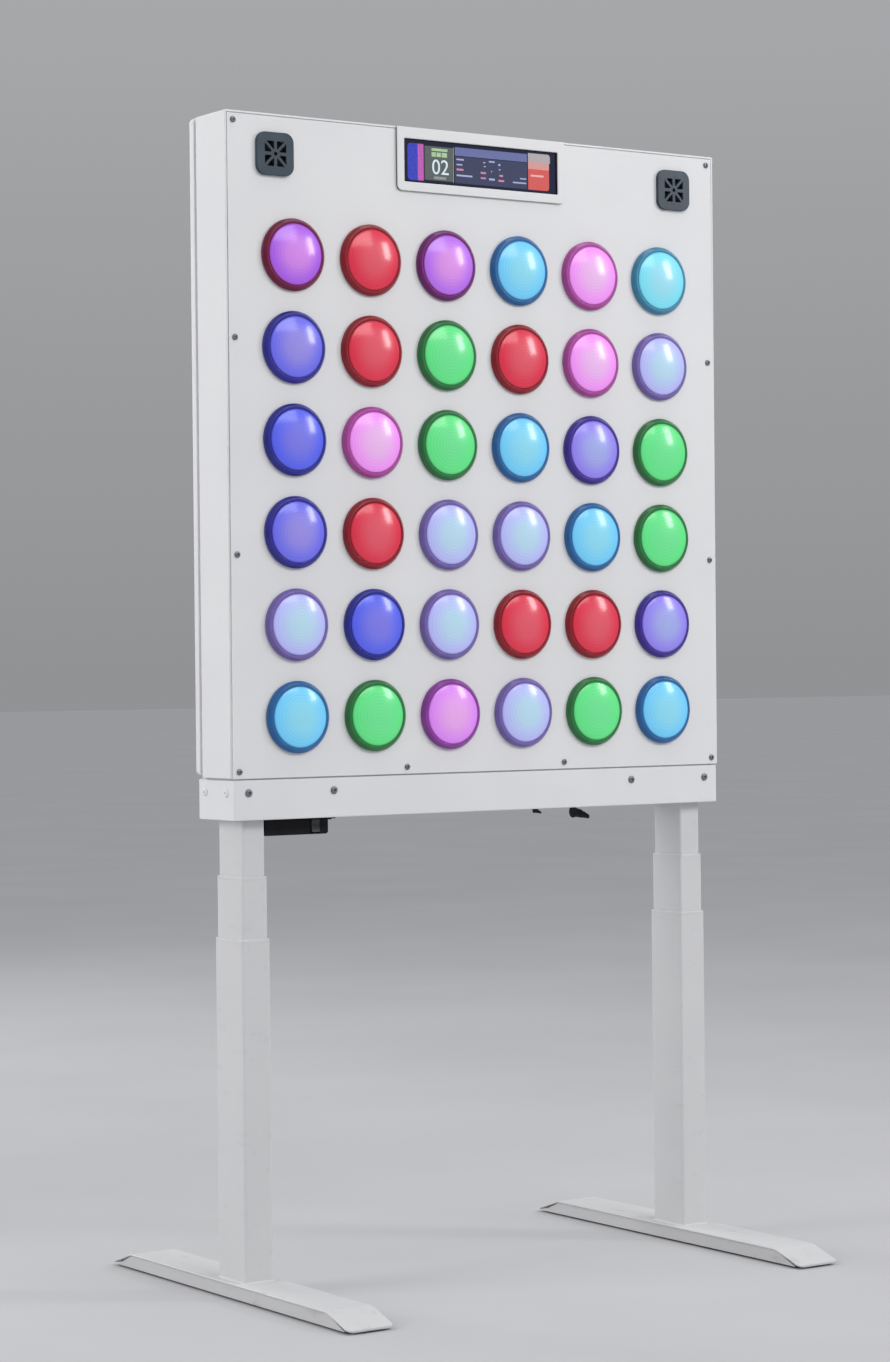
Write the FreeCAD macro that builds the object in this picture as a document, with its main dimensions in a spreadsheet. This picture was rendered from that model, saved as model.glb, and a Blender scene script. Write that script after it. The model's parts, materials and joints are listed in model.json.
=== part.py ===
"""Reaction and rhythm board: a six-by-six grid of lit dome buttons in a sheet-metal case, carried on a
two-column telescopic lift frame.

Row frame, in millimetres: the origin is on the floor at the middle of the frame, +Z is up, the player stands
on the -Y side and +X is the player's right.
"""
import FreeCAD, Part
import math
import os
import re
import Sketcher

DOC = FreeCAD.newDocument("reaction_board")

# ---------------------------------------------------------------- driving dimensions
SIZES = {
    # case
    "total_height": 1788, "case_width": 933, "case_height": 1002, "case_depth": 87, "sheet": 3,
    "flange_width": 20, "flange_sheet": 2, "cable_hole": 40,
    # removable front panel
    "panel_sheet": 3, "panel_gap": 1,
    # rear cover
    "rear_depth": 16, "rear_sheet": 2, "rear_gap": 6, "rear_foot_gap": 4, "rear_edge": 6, "rear_step": 4,
    "vent_length": 90, "vent_slot": 6, "vent_pitch": 16, "vent_drop": 301,
    # skirt band under the case
    "band_height": 60.5, "band_width": 925, "band_depth": 105, "band_sheet": 3, "seam_gap": 2.5,
    "tray_drop": 33, "tray_gap": 0.25,
    # button grid
    "grid_drop": 561, "button_pitch": 140,
    "bezel_lip": 4.3, "bezel_flare": 3.5, "bezel_rim": 9, "bezel_shoulder": 5, "dish_floor": 2.5,
    "barrel_wall": 4, "stem_gap": 2, "barrel_length": 32, "barrel_gap": 0.3,
    "dome_radius": 46.6, "dome_gap": 0.6, "dome_skirt": 6.5, "dome_edge": 9.4, "dome_crown": 17.5,
    "dome_wall": 2.5, "stem_radius": 6, "stem_depth": 22,
    "spring_gap": 1.5, "spring_thick": 2.5,
    "switch_gap": 4, "plug_gap": 0.3, "switch_width": 28, "switch_thick": 14, "switch_length": 26,
    "nut_wall": 4, "nut_height": 7, "thread_gap": 0.1,
    # screws
    "screw_head": 4.8, "screw_dome": 2.6, "screw_crown": 2.64, "screw_rim": 1.04,
    "screw_shank": 2, "screw_length": 8, "screw_gap": 0.2, "band_head": 6, "band_crown": 3.84,
    "screw_inset": 14.2, "screw_foot": 10.5, "rear_screw_foot": 17, "band_screw_outer": 436.7,
    "band_screw_inner": 285.4, "band_screw_drop": 19,
    "side_screw_front": 30.4, "side_screw_rear": 32.6,
    # display
    "display_side": 13.25, "display_head": 17.7, "display_proud": 4, "display_corner": 9,
    "screen_width": 293.5, "screen_height": 67.3, "screen_foot": 14, "screen_glass": 8, "screen_margin": 5,
    # speakers
    "speaker_centre": 381, "speaker_drop": 61, "grille_width": 65, "grille_corner": 15, "grille_proud": 5.5,
    "grille_square": 38, "spoke_width": 5, "spoke_start": 8, "spoke_corner": 3.5, "hub_hole": 3,
    "speaker_bore": 24, "driver_flange": 6,
    "driver_depth": 26, "driver_rim": 1, "driver_sheet": 2.5, "cone_depth": 4.5,
    "dust_cap": 8, "magnet_radius": 16,
    # lift frame
    "column_centre": 419, "tube_sheet": 1.5,
    "outer_wide": 50, "outer_deep": 80, "slide_gap": 1, "inner_shown": 85.5, "middle_shown": 94.3,
    "stroke_down": 80, "floor_gap": 4.5,
    "bush_length": 40, "bush_lip": 5, "bush_gap": 0.1, "tube_gap": 2,
    "motor_clear": 1.5, "motor_length": 170, "motor_cap": 8, "motor_gap": 0.2, "spindle_radius": 6,
    "spindle_foot": 15,
    # feet
    "foot_length": 700, "foot_width": 80, "foot_top": 25.5, "foot_gap": 3, "foot_slope": 58.5,
    "foot_toe": 3.2, "foot_sheet": 3, "foot_overhang": 2.5, "foot_corner": 7, "foot_heel": 0.2,
    "foot_taper": 14.625,
    "glide_radius": 17, "glide_stem": 4, "glide_centre": 262,
    # lift control box and its rocker
    "control_gap": 1.5, "control_wide": 113.5, "control_front": 25, "control_deep": 62,
    "control_drop": 26, "control_ear": 15, "control_ear_thick": 3,
    "rocker_wide": 14, "rocker_tall": 19, "rocker_deep": 7, "rocker_gap": 0.5, "rocker_swing": 1.3,
    "rocker_inset": 24, "rocker_proud": 3,
    # game controller
    "board_wide": 180, "board_tall": 110, "board_thick": 1.6, "board_post": 10, "board_post_radius": 3,
    "board_lift": 300, "jack_radius": 6, "jack_drop": 90,
}
sheet = DOC.addObject("Spreadsheet::Sheet", "Sizes")
for row, (alias, value) in enumerate(SIZES.items(), start=1):
    sheet.set("A%d" % row, alias)
    sheet.set("B%d" % row, str(value))
    sheet.setAlias("B%d" % row, alias)
DOC.recompute()

# ---------------------------------------------------------------- places worked out from the sizes
FRONT = "(-band_depth / 2)"
CASE_FLOOR = "(total_height - case_height)"
CASE_REAR = "(%s + case_depth)" % FRONT
PANEL_WIDTH = "(case_width - 2 * sheet - 2 * panel_gap)"
PANEL_TOP = "(total_height - sheet - panel_gap)"
PANEL_BACK = "(%s + panel_sheet)" % FRONT
BAND_TOP = "(%s - seam_gap)" % CASE_FLOOR
BAND_FLOOR = "(%s - band_height)" % BAND_TOP
GRID = "(total_height - grid_drop)"
DISPLAY_DROP = "(screen_foot + screen_height + display_head)"
DISPLAY_FLOOR = "(total_height - %s)" % DISPLAY_DROP
DISPLAY_WIDE = "(screen_width + 2 * display_side)"
SPEAKER = "(total_height - speaker_drop)"
BORE = "(dome_radius + dome_gap)"
BEZEL_LIP = "(%s + bezel_lip)" % BORE
BEZEL = "(%s + bezel_flare)" % BEZEL_LIP
BARREL_BORE = "(stem_radius + stem_gap)"
BARREL = "(%s + barrel_wall)" % BARREL_BORE
SIDES = (-1, 1)
BUTTON_ROWS = 6
BUTTON_COLUMNS = 6
PARTS = []


def sized(text):
    """Write an expression over the sheet's names as one that the document understands."""
    return re.sub(r"[a-z_]+", lambda word: "Sizes." + word[0] if word[0] in SIZES else word[0], text)


def number(text):
    """Value of an expression over the sheet's names."""
    return float(sheet.evalExpression(sized(text)))


def bind(thing, **properties):
    """Bind properties of an object to expressions; x, y and z place it."""
    for name, text in properties.items():
        target = "Placement.Base." + name if name in ("x", "y", "z") else name
        thing.setExpression(target, sized(str(text)))
    return thing


def box(name, wide, deep, tall, x="0", y="0", z="0"):
    """Box centred on x, starting at y and z."""
    block = DOC.addObject("Part::Box", name)
    return bind(block, Length=wide, Width=deep, Height=tall, x="%s - (%s) / 2" % (x, wide), y=y, z=z)


def rod(name, radius, length, axis="z", x="0", y="0", z="0"):
    """Cylinder that starts at the given point and runs along +Z or +Y."""
    bar = DOC.addObject("Part::Cylinder", name)
    if axis == "y":
        bar.Placement.Rotation = FreeCAD.Rotation(FreeCAD.Vector(1, 0, 0), -90)
    return bind(bar, Radius=radius, Height=length, x=x, y=y, z=z)


def group(name, pieces):
    """Separate solids kept together as one object."""
    bundle = DOC.addObject("Part::Compound", name)
    bundle.Links = pieces
    return bundle


def cut(name, base, tools):
    """Base with every tool taken away."""
    result = DOC.addObject("Part::Cut", name)
    result.Base = base
    result.Tool = tools[0] if len(tools) == 1 else group(name + "_tools", tools)
    return result


def fuse(name, pieces):
    """Pieces joined into one solid."""
    result = DOC.addObject("Part::MultiFuse", name)
    result.Shapes = pieces
    return result


def node(name, thing):
    """Hand an object in as a finished sub-part."""
    thing.Label = name
    PARTS.append(thing)
    return thing


def arc_about_axis(start, end):
    """Arc between two points centred on the sketch's Y axis, and the number of its end that is the start."""
    centre_y = (start.y + end.y) / 2 + (start.x ** 2 - end.x ** 2) / (2 * (start.y - end.y))
    centre = FreeCAD.Vector(0, centre_y, 0)
    circle = Part.Circle(centre, FreeCAD.Vector(0, 0, 1), (start - centre).Length)
    first, last = [math.atan2(point.y - centre_y, point.x) for point in (start, end)]
    if first < last:
        return Part.ArcOfCircle(circle, first, last), 1
    return Part.ArcOfCircle(circle, last, first), 2


def outline(sketch, corners, arcs=()):
    """Closed outline through corners given as pairs of expressions.

    Each segment numbered in arcs runs as an arc centred on the sketch's Y axis instead of a straight line.
    """
    points = [FreeCAD.Vector(number(across), number(along), 0) for across, along in corners]
    count = len(points)
    start_of = []
    for index, start in enumerate(points):
        end = points[(index + 1) % count]
        curve, start_end = arc_about_axis(start, end) if index in arcs else (Part.LineSegment(start, end), 1)
        sketch.addGeometry(curve)
        start_of.append(start_end)
    for index in range(count):
        following = (index + 1) % count
        sketch.addConstraint(Sketcher.Constraint("Coincident", index, 3 - start_of[index],
                                                 following, start_of[following]))
    for index in arcs:
        sketch.addConstraint(Sketcher.Constraint("PointOnObject", index, 3, -2))
    for index, (across, along) in enumerate(corners):
        for kind, text, value in (("X", across, points[index].x), ("Y", along, points[index].y)):
            where = Sketcher.Constraint("Distance" + kind, index, start_of[index], value)
            label = "corner_%d_%s" % (index, kind)
            sketch.renameConstraint(sketch.addConstraint(where), label)
            sketch.setExpression("Constraints." + label, sized(text))
    return sketch


def profile(name, corners, arcs=()):
    """Stand-alone outline in the XY plane: X is the radius and Y the depth into the machine."""
    return outline(DOC.addObject("Sketcher::SketchObject", name), corners, arcs)


def turned(name, section, x, y, z):
    """Solid of revolution of a profile about the line along Y through the given point."""
    spun = DOC.addObject("Part::Revolution", name)
    spun.Source = section
    spun.Axis = FreeCAD.Vector(0, 1, 0)
    spun.Solid = True
    return bind(spun, x=x, y=y, z=z)


def mirrored_pair(text):
    """The same distance to the left and to the right."""
    return ["%d * (%s)" % (side, text) for side in SIDES]


def tube(name, wide, deep, tall, x, z):
    """Rectangular tube standing at z, centred on x and on the column line."""
    outside = box(name + "_outside", wide, deep, tall, x, "-(%s) / 2" % deep, z)
    bore_wide = "(%s - 2 * tube_sheet)" % wide
    bore_deep = "(%s - 2 * tube_sheet)" % deep
    bore = box(name + "_bore", bore_wide, bore_deep, tall, x, "-%s / 2" % bore_deep, z)
    return cut(name, outside, [bore])


def bush(name, tube_wide, tube_deep, slider_wide, slider_deep, x, top):
    """Plastic guide in a tube's mouth: a sleeve inside the tube and a thin lip on its end."""
    sleeve_wide = "(%s - 2 * tube_sheet)" % tube_wide
    sleeve_deep = "(%s - 2 * tube_sheet)" % tube_deep
    sleeve = box(name + "_sleeve", sleeve_wide, sleeve_deep, "bush_length", x, "-%s / 2" % sleeve_deep,
                 "%s - bush_length" % top)
    lip = box(name + "_lip", tube_wide, tube_deep, "bush_lip", x, "-(%s) / 2" % tube_deep,
              "%s - bush_lip" % top)
    body = fuse(name + "_body", [sleeve, lip])
    bore_wide = "(%s + 2 * bush_gap)" % slider_wide
    bore_deep = "(%s + 2 * bush_gap)" % slider_deep
    bore = box(name + "_bore", bore_wide, bore_deep, "bush_length", x, "-%s / 2" % bore_deep,
               "%s - bush_length" % top)
    return cut(name, body, [bore])


# ---------------------------------------------------------------- feet and their levelling glides
def foot(name, x):
    """Steel foot: a strap that slopes to the floor at both ends, on two side walls, open underneath."""
    half = "foot_length / 2"
    shoulder = "(foot_length / 2 - foot_slope)"
    toe = "(foot_gap + foot_toe)"
    under = "(foot_top - foot_sheet)"
    heel = "(foot_gap + foot_heel)"
    strap = DOC.addObject("Sketcher::SketchObject", name + "_strap")
    outline(strap, [("-" + half, "foot_gap"), ("-" + half, toe), ("-" + shoulder, "foot_top"),
                    (shoulder, "foot_top"), (half, toe), (half, "foot_gap"),
                    ("%s - foot_toe" % half, "foot_gap"), (shoulder, under), ("-" + shoulder, under),
                    ("foot_toe - " + half, "foot_gap")])
    side = DOC.addObject("Sketcher::SketchObject", name + "_side")
    reach = "(%s - foot_taper)" % half
    outline(side, [("-" + reach, heel), ("-" + shoulder, under), (shoulder, under), (reach, heel)])
    upright = FreeCAD.Rotation(FreeCAD.Vector(1, 1, 1), 120)
    pieces = []
    width = "(foot_width - 2 * foot_overhang)"
    plates = [(strap, "foot_width", "%s - foot_width / 2" % x),
              (side, "foot_sheet", "%s - %s / 2" % (x, width)),
              (side, "foot_sheet", "%s + %s / 2 - foot_sheet" % (x, width))]
    for index, (section, thick, start) in enumerate(plates):
        plate = DOC.addObject("Part::Extrusion", "%s_plate_%d" % (name, index))
        plate.Base = section
        plate.DirMode = "Custom"
        plate.Dir = FreeCAD.Vector(0, 0, 1)
        plate.Solid = True
        plate.Placement.Rotation = upright
        pieces.append(bind(plate, LengthFwd=thick, x=start))
    return fuse(name, pieces)


def glide(name, x, y):
    """Levelling glide: a disc on the floor with a stem screwed up under the strap."""
    disc = rod(name + "_disc", "glide_radius", "foot_gap", x=x, y=y)
    stem = rod(name + "_stem", "glide_stem", "foot_top - foot_sheet", x=x, y=y)
    return fuse(name, [disc, stem])


places = list(enumerate(mirrored_pair("column_centre")))
node("feet", group("feet", [foot("foot_%d" % side, x) for side, x in places]))
node("foot_glides", group("foot_glides", [
    glide("glide_%d_%d" % (side, end), x, y)
    for side, x in places for end, y in enumerate(mirrored_pair("glide_centre"))]))

# ---------------------------------------------------------------- telescopic columns
MIDDLE_TOP = "(%s - inner_shown)" % BAND_FLOOR
OUTER_TOP = "(%s - middle_shown)" % MIDDLE_TOP
MIDDLE_FLOOR = "(foot_top + floor_gap + stroke_down)"
INNER_FLOOR = "(foot_top + floor_gap + 2 * stroke_down)"
INNER_TOP = "(%s - sheet)" % CASE_FLOOR
INNER_TALL = "(%s - %s)" % (INNER_TOP, INNER_FLOOR)
OUTER = ("outer_wide", "outer_deep")
MIDDLE = tuple("(%s - 2 * tube_sheet - 2 * slide_gap)" % size for size in OUTER)
INNER = tuple("(%s - 2 * tube_sheet - 2 * slide_gap)" % size for size in MIDDLE)
node("outer_tubes", group("outer_tubes", [
    tube("outer_tube_%d" % side, *OUTER, "%s - bush_lip - foot_top" % OUTER_TOP, x, "foot_top")
    for side, x in places]))
node("outer_bushes", group("outer_bushes", [
    bush("outer_bush_%d" % side, *OUTER, *MIDDLE, x, OUTER_TOP)
    for side, x in places]))
node("middle_tubes", group("middle_tubes", [
    tube("middle_tube_%d" % side, *MIDDLE, "%s - bush_lip - %s" % (MIDDLE_TOP, MIDDLE_FLOOR), x, MIDDLE_FLOOR)
    for side, x in places]))
node("middle_bushes", group("middle_bushes", [
    bush("middle_bush_%d" % side, *MIDDLE, *INNER, x, MIDDLE_TOP)
    for side, x in places]))
node("inner_tubes", group("inner_tubes", [
    tube("inner_tube_%d" % side, *INNER, INNER_TALL, x, INNER_FLOOR)
    for side, x in places]))


def lift_drive(side, x):
    """Motor hung from a cap in the inner tube, with its spindle below."""
    name = "lift_drive_%d_" % side
    cap_wide, cap_deep = ["(%s - 2 * tube_sheet - 2 * motor_gap)" % size for size in INNER]
    cap = box(name + "cap", cap_wide, cap_deep, "motor_cap", x, "-%s / 2" % cap_deep,
              "%s - motor_cap" % INNER_TOP)
    motor_floor = "(%s - motor_cap - motor_length)" % INNER_TOP
    motor = rod(name + "motor", "%s / 2 - tube_sheet - motor_clear" % INNER[0], "motor_length", x=x,
                z=motor_floor)
    spindle_floor = "(%s + spindle_foot)" % INNER_FLOOR
    spindle = rod(name + "spindle", "spindle_radius", "%s - %s" % (motor_floor, spindle_floor), x=x,
                  z=spindle_floor)
    return [fuse(name + "housing", [cap, motor]), spindle]


node("lift_drives", group("lift_drives", [piece for side, x in places for piece in lift_drive(side, x)]))

# ---------------------------------------------------------------- skirt band and the frame inside it
FRONT_SCREWS = mirrored_pair("band_screw_outer") + mirrored_pair("band_screw_inner")
BAND_SCREW_Z = "(%s - band_screw_drop)" % BAND_TOP
SIDE_SCREWS = ("-side_screw_front", "side_screw_rear")


def band_holes(name, radius):
    """Screw holes through the front and the two ends of the band."""
    holes = [rod("%s_front_%d" % (name, index), radius, "4 * band_sheet", "y", x, "%s - band_sheet" % FRONT,
                 BAND_SCREW_Z) for index, x in enumerate(FRONT_SCREWS)]
    for index, y in enumerate(SIDE_SCREWS):
        hole = rod("%s_side_%d" % (name, index), radius, "band_width + 2 * band_sheet", "z",
                   "-band_width / 2 - band_sheet", y, BAND_SCREW_Z)
        hole.Placement.Rotation = FreeCAD.Rotation(FreeCAD.Vector(0, 1, 0), 90)
        holes.append(hole)
    return holes


TRAY_WIDE = "(band_width - 2 * band_sheet - 2 * tray_gap)"
TRAY_DEEP = "(band_depth - 2 * band_sheet - 2 * tray_gap)"
tray_outside = box("tray_outside", TRAY_WIDE, TRAY_DEEP, "tray_drop", y="-%s / 2" % TRAY_DEEP,
                   z="%s - tray_drop" % CASE_FLOOR)
tray_inside = box("tray_inside", "%s - 2 * sheet" % TRAY_WIDE, "%s - 2 * sheet" % TRAY_DEEP, "tray_drop",
                  y="-%s / 2 + sheet" % TRAY_DEEP, z="%s - tray_drop - sheet" % CASE_FLOOR)
tray_cable = rod("tray_cable", "cable_hole / 2", "2 * sheet", z="%s - 1.5 * sheet" % CASE_FLOOR)
node("column_frame", cut("column_frame", tray_outside,
                         [tray_inside, tray_cable] + band_holes("tray_hole", "screw_shank + screw_gap")))

band_outside = box("band_outside", "band_width", "band_depth", "band_height", y=FRONT, z=BAND_FLOOR)
band_inside = box("band_inside", "band_width - 2 * band_sheet", "band_depth - 2 * band_sheet", "band_height",
                  y="%s + band_sheet" % FRONT, z="%s + band_sheet" % BAND_FLOOR)
band_mouths = [box("band_mouth_%d" % side, "%s + 2 * tube_gap" % INNER[0], "%s + 2 * tube_gap" % INNER[1],
                   "2 * band_sheet", x, "-%s / 2 - tube_gap" % INNER[1], "%s - band_sheet / 2" % BAND_FLOOR)
               for side, x in places]
node("skirt_band", cut("skirt_band", band_outside,
                       [band_inside] + band_mouths + band_holes("band_hole", "screw_shank + screw_gap")))

# ---------------------------------------------------------------- case shell, front panel and rear cover
PANEL_SCREW_X = "(case_width / 2 - screw_inset)"
SCREW_TOP = "(total_height - screw_inset)"


def edge_screws(foot):
    """Four screws evenly spaced up each side, the lowest at the given height above the case floor."""
    return [(x, "%s - (case_height - screw_inset - %s) * %d / 3" % (SCREW_TOP, foot, step))
            for x in mirrored_pair(PANEL_SCREW_X) for step in range(4)]


FLOOR_SCREWS = [(x, "%s + screw_foot" % CASE_FLOOR) for x in mirrored_pair("%s / 3" % PANEL_SCREW_X)]
PANEL_SCREWS = edge_screws("screw_foot") + FLOOR_SCREWS
REAR_SCREWS = edge_screws("rear_screw_foot")


def holes_along_y(name, spots, radius, y, length):
    """Round holes along Y at a list of places."""
    return [rod("%s_%d" % (name, index), radius, length, "y", x, y, z)
            for index, (x, z) in enumerate(spots)]


def flange_opening(name, y):
    """Opening inside the case's return flange."""
    return box(name, "case_width - 2 * sheet - 2 * flange_width", "3 * flange_sheet",
               "case_height - 2 * sheet - 2 * flange_width", y=y,
               z="%s + sheet + flange_width" % CASE_FLOOR)


case_outside = box("case_outside", "case_width", "case_depth", "case_height", y=FRONT, z=CASE_FLOOR)
case_recess = box("case_recess", "case_width - 2 * sheet", "panel_sheet", "case_height - sheet", y=FRONT,
                  z=CASE_FLOOR)
case_inside = box("case_inside", "case_width - 2 * sheet", "case_depth - panel_sheet - 2 * flange_sheet",
                  "case_height - 2 * sheet", y="%s + flange_sheet" % PANEL_BACK,
                  z="%s + sheet" % CASE_FLOOR)
case_cable = rod("case_cable", "cable_hole / 2", "2 * sheet", z="%s - sheet / 2" % CASE_FLOOR)
case_notch = box("case_notch", "%s + 2 * screen_margin" % DISPLAY_WIDE, "3 * flange_sheet",
                 "2 * flange_width", y="%s - flange_sheet" % PANEL_BACK,
                 z="total_height - sheet - 2 * flange_width")
case_tools = [case_recess, case_inside, case_cable, case_notch,
              flange_opening("case_front_opening", "%s - flange_sheet" % PANEL_BACK),
              flange_opening("case_rear_opening", "%s - 2 * flange_sheet" % CASE_REAR)]
case_tools += holes_along_y("case_front_hole", PANEL_SCREWS, "screw_shank + screw_gap",
                            "%s - flange_sheet" % PANEL_BACK, "3 * flange_sheet")
case_tools += holes_along_y("case_rear_hole", REAR_SCREWS, "screw_shank + screw_gap",
                            "%s - 2 * flange_sheet" % CASE_REAR, "3 * flange_sheet")
node("case_shell", cut("case_shell", case_outside, case_tools))

SPEAKERS = [(x, SPEAKER) for x in mirrored_pair("speaker_centre")]
BUTTONS = {(row, column): ("button_pitch * %s" % (column - (BUTTON_COLUMNS + 1) / 2),
                           "%s - button_pitch * %s" % (GRID, row - (BUTTON_ROWS + 1) / 2))
           for row in range(1, BUTTON_ROWS + 1) for column in range(1, BUTTON_COLUMNS + 1)}
panel_plate = box("panel_plate", PANEL_WIDTH, "panel_sheet", "%s - %s" % (PANEL_TOP, CASE_FLOOR), y=FRONT,
                  z=CASE_FLOOR)
panel_notch = box("panel_notch", "screen_width + 2 * screen_margin", "3 * panel_sheet", DISPLAY_DROP,
                  y="%s - panel_sheet" % FRONT, z="%s + screen_foot - screen_margin" % DISPLAY_FLOOR)
through = ("%s - panel_sheet" % FRONT, "3 * panel_sheet")
node("front_panel", cut("front_panel", panel_plate, [panel_notch]
                        + holes_along_y("panel_button_hole", BUTTONS.values(), "%s + barrel_gap" % BARREL,
                                        *through)
                        + holes_along_y("panel_speaker_hole", SPEAKERS, "speaker_bore", *through)
                        + holes_along_y("panel_screw_hole", PANEL_SCREWS, "screw_shank + screw_gap", *through)))

COVER_FRONT = "(%s + rear_gap)" % CASE_REAR
COVER_BACK = "(%s + rear_depth)" % COVER_FRONT
COVER_FLOOR = "(%s + rear_foot_gap)" % CASE_FLOOR
COVER_TALL = "(case_height - rear_foot_gap)"
cover_block = box("cover_block", "case_width", "rear_depth", COVER_TALL, y=COVER_FRONT, z=COVER_FLOOR)
DOC.recompute()
cover_rounded = DOC.addObject("Part::Fillet", "cover_rounded")
cover_rounded.Base = cover_block
back_plane = number(COVER_BACK)
cover_rounded.Edges = [(index, SIZES["rear_edge"], SIZES["rear_edge"])
                       for index, edge in enumerate(cover_block.Shape.Edges, start=1)
                       if min(corner.Point.y for corner in edge.Vertexes) > back_plane - 1e-6]
cover_inside = box("cover_inside", "case_width - 2 * rear_sheet", "rear_depth - rear_sheet",
                   "%s - 2 * rear_sheet" % COVER_TALL, y=COVER_FRONT, z="%s + rear_sheet" % COVER_FLOOR)
VENT_ROWS = 7
vents = [box("vent_%d_%d" % (side, row), "vent_length", "3 * rear_sheet", "vent_slot", x,
             "%s - 2 * rear_sheet" % COVER_BACK, "total_height - vent_drop + vent_pitch * %d" % row)
         for side, x in enumerate(mirrored_pair("case_width / 4")) for row in range(VENT_ROWS)]
JACK_Z = "(%s + board_lift - jack_drop)" % COVER_FLOOR
jack_hole = rod("jack_hole", "jack_radius + screw_gap", "3 * rear_sheet", "y",
                y="%s - 2 * rear_sheet" % COVER_BACK, z=JACK_Z)
cover_tray = cut("cover_tray", cover_rounded, [cover_inside])
STEP_DEEP = "(rear_gap + rear_depth - rear_sheet)"
step_outside = box("step_outside", "case_width - 2 * rear_step", STEP_DEEP, "%s - 2 * rear_step" % COVER_TALL,
                   y=CASE_REAR, z="%s + rear_step" % COVER_FLOOR)
step_inside = box("step_inside", "case_width - 2 * rear_step - 2 * rear_sheet", STEP_DEEP,
                  "%s - 2 * rear_step - 2 * rear_sheet" % COVER_TALL, y=CASE_REAR,
                  z="%s + rear_step + rear_sheet" % COVER_FLOOR)
cover_body = fuse("cover_body", [cover_tray, cut("cover_step", step_outside, [step_inside])])
node("rear_cover", cut("rear_cover", cover_body, [jack_hole] + vents
                       + holes_along_y("cover_hole", REAR_SCREWS, "screw_shank + screw_gap",
                                       "%s - 2 * rear_sheet" % COVER_BACK, "3 * rear_sheet")))

# ---------------------------------------------------------------- display
display = DOC.addObject("PartDesign::Body", "display_bezel")
front_plane = next(plane for plane in display.Origin.OriginFeatures if plane.Role == "XZ_Plane")
plate_sketch = display.newObject("Sketcher::SketchObject", "display_plate_sketch")
plate_sketch.AttachmentSupport = [(front_plane, "")]
plate_sketch.MapMode = "FlatFace"
plate_head = "%s - screw_gap" % DISPLAY_DROP
outline(plate_sketch, [("-%s / 2" % DISPLAY_WIDE, "0"), ("%s / 2" % DISPLAY_WIDE, "0"),
                       ("%s / 2" % DISPLAY_WIDE, plate_head), ("-%s / 2" % DISPLAY_WIDE, plate_head)])
plate_pad = display.newObject("PartDesign::Pad", "display_plate")
plate_pad.Profile = plate_sketch
bind(plate_pad, Length="display_proud")
window_sketch = display.newObject("Sketcher::SketchObject", "display_window_sketch")
window_sketch.AttachmentSupport = [(front_plane, "")]
window_sketch.MapMode = "FlatFace"
outline(window_sketch, [("-screen_width / 2", "screen_foot"), ("screen_width / 2", "screen_foot"),
                        ("screen_width / 2", "screen_foot + screen_height"),
                        ("-screen_width / 2", "screen_foot + screen_height")])
window = display.newObject("PartDesign::Pocket", "display_window")
window.Profile = window_sketch
window.Type = "ThroughAll"
window.Midplane = True
DOC.recompute()
rounding = display.newObject("PartDesign::Fillet", "display_corners")
low_corners = ["Edge%d" % index for index, edge in enumerate(window.Shape.Edges, start=1)
               if max(corner.Point.z for corner in edge.Vertexes) < 1e-6
               and abs(edge.Vertexes[0].Point.y - edge.Vertexes[-1].Point.y) > 1e-6]
rounding.Base = (window, low_corners)
bind(rounding, Radius="display_corner")
display.Tip = rounding
node("display_bezel", bind(display, y=FRONT, z=DISPLAY_FLOOR))

MODULE_WIDE = "(screen_width + 2 * screen_margin - 2 * panel_gap)"
MODULE_TALL = "(screen_height + 2 * screen_margin - 2 * panel_gap)"
node("display_module", box("display_module", MODULE_WIDE, "screen_glass", MODULE_TALL, y=FRONT,
                           z="%s + screen_foot - screen_margin + panel_gap" % DISPLAY_FLOOR))


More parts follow.
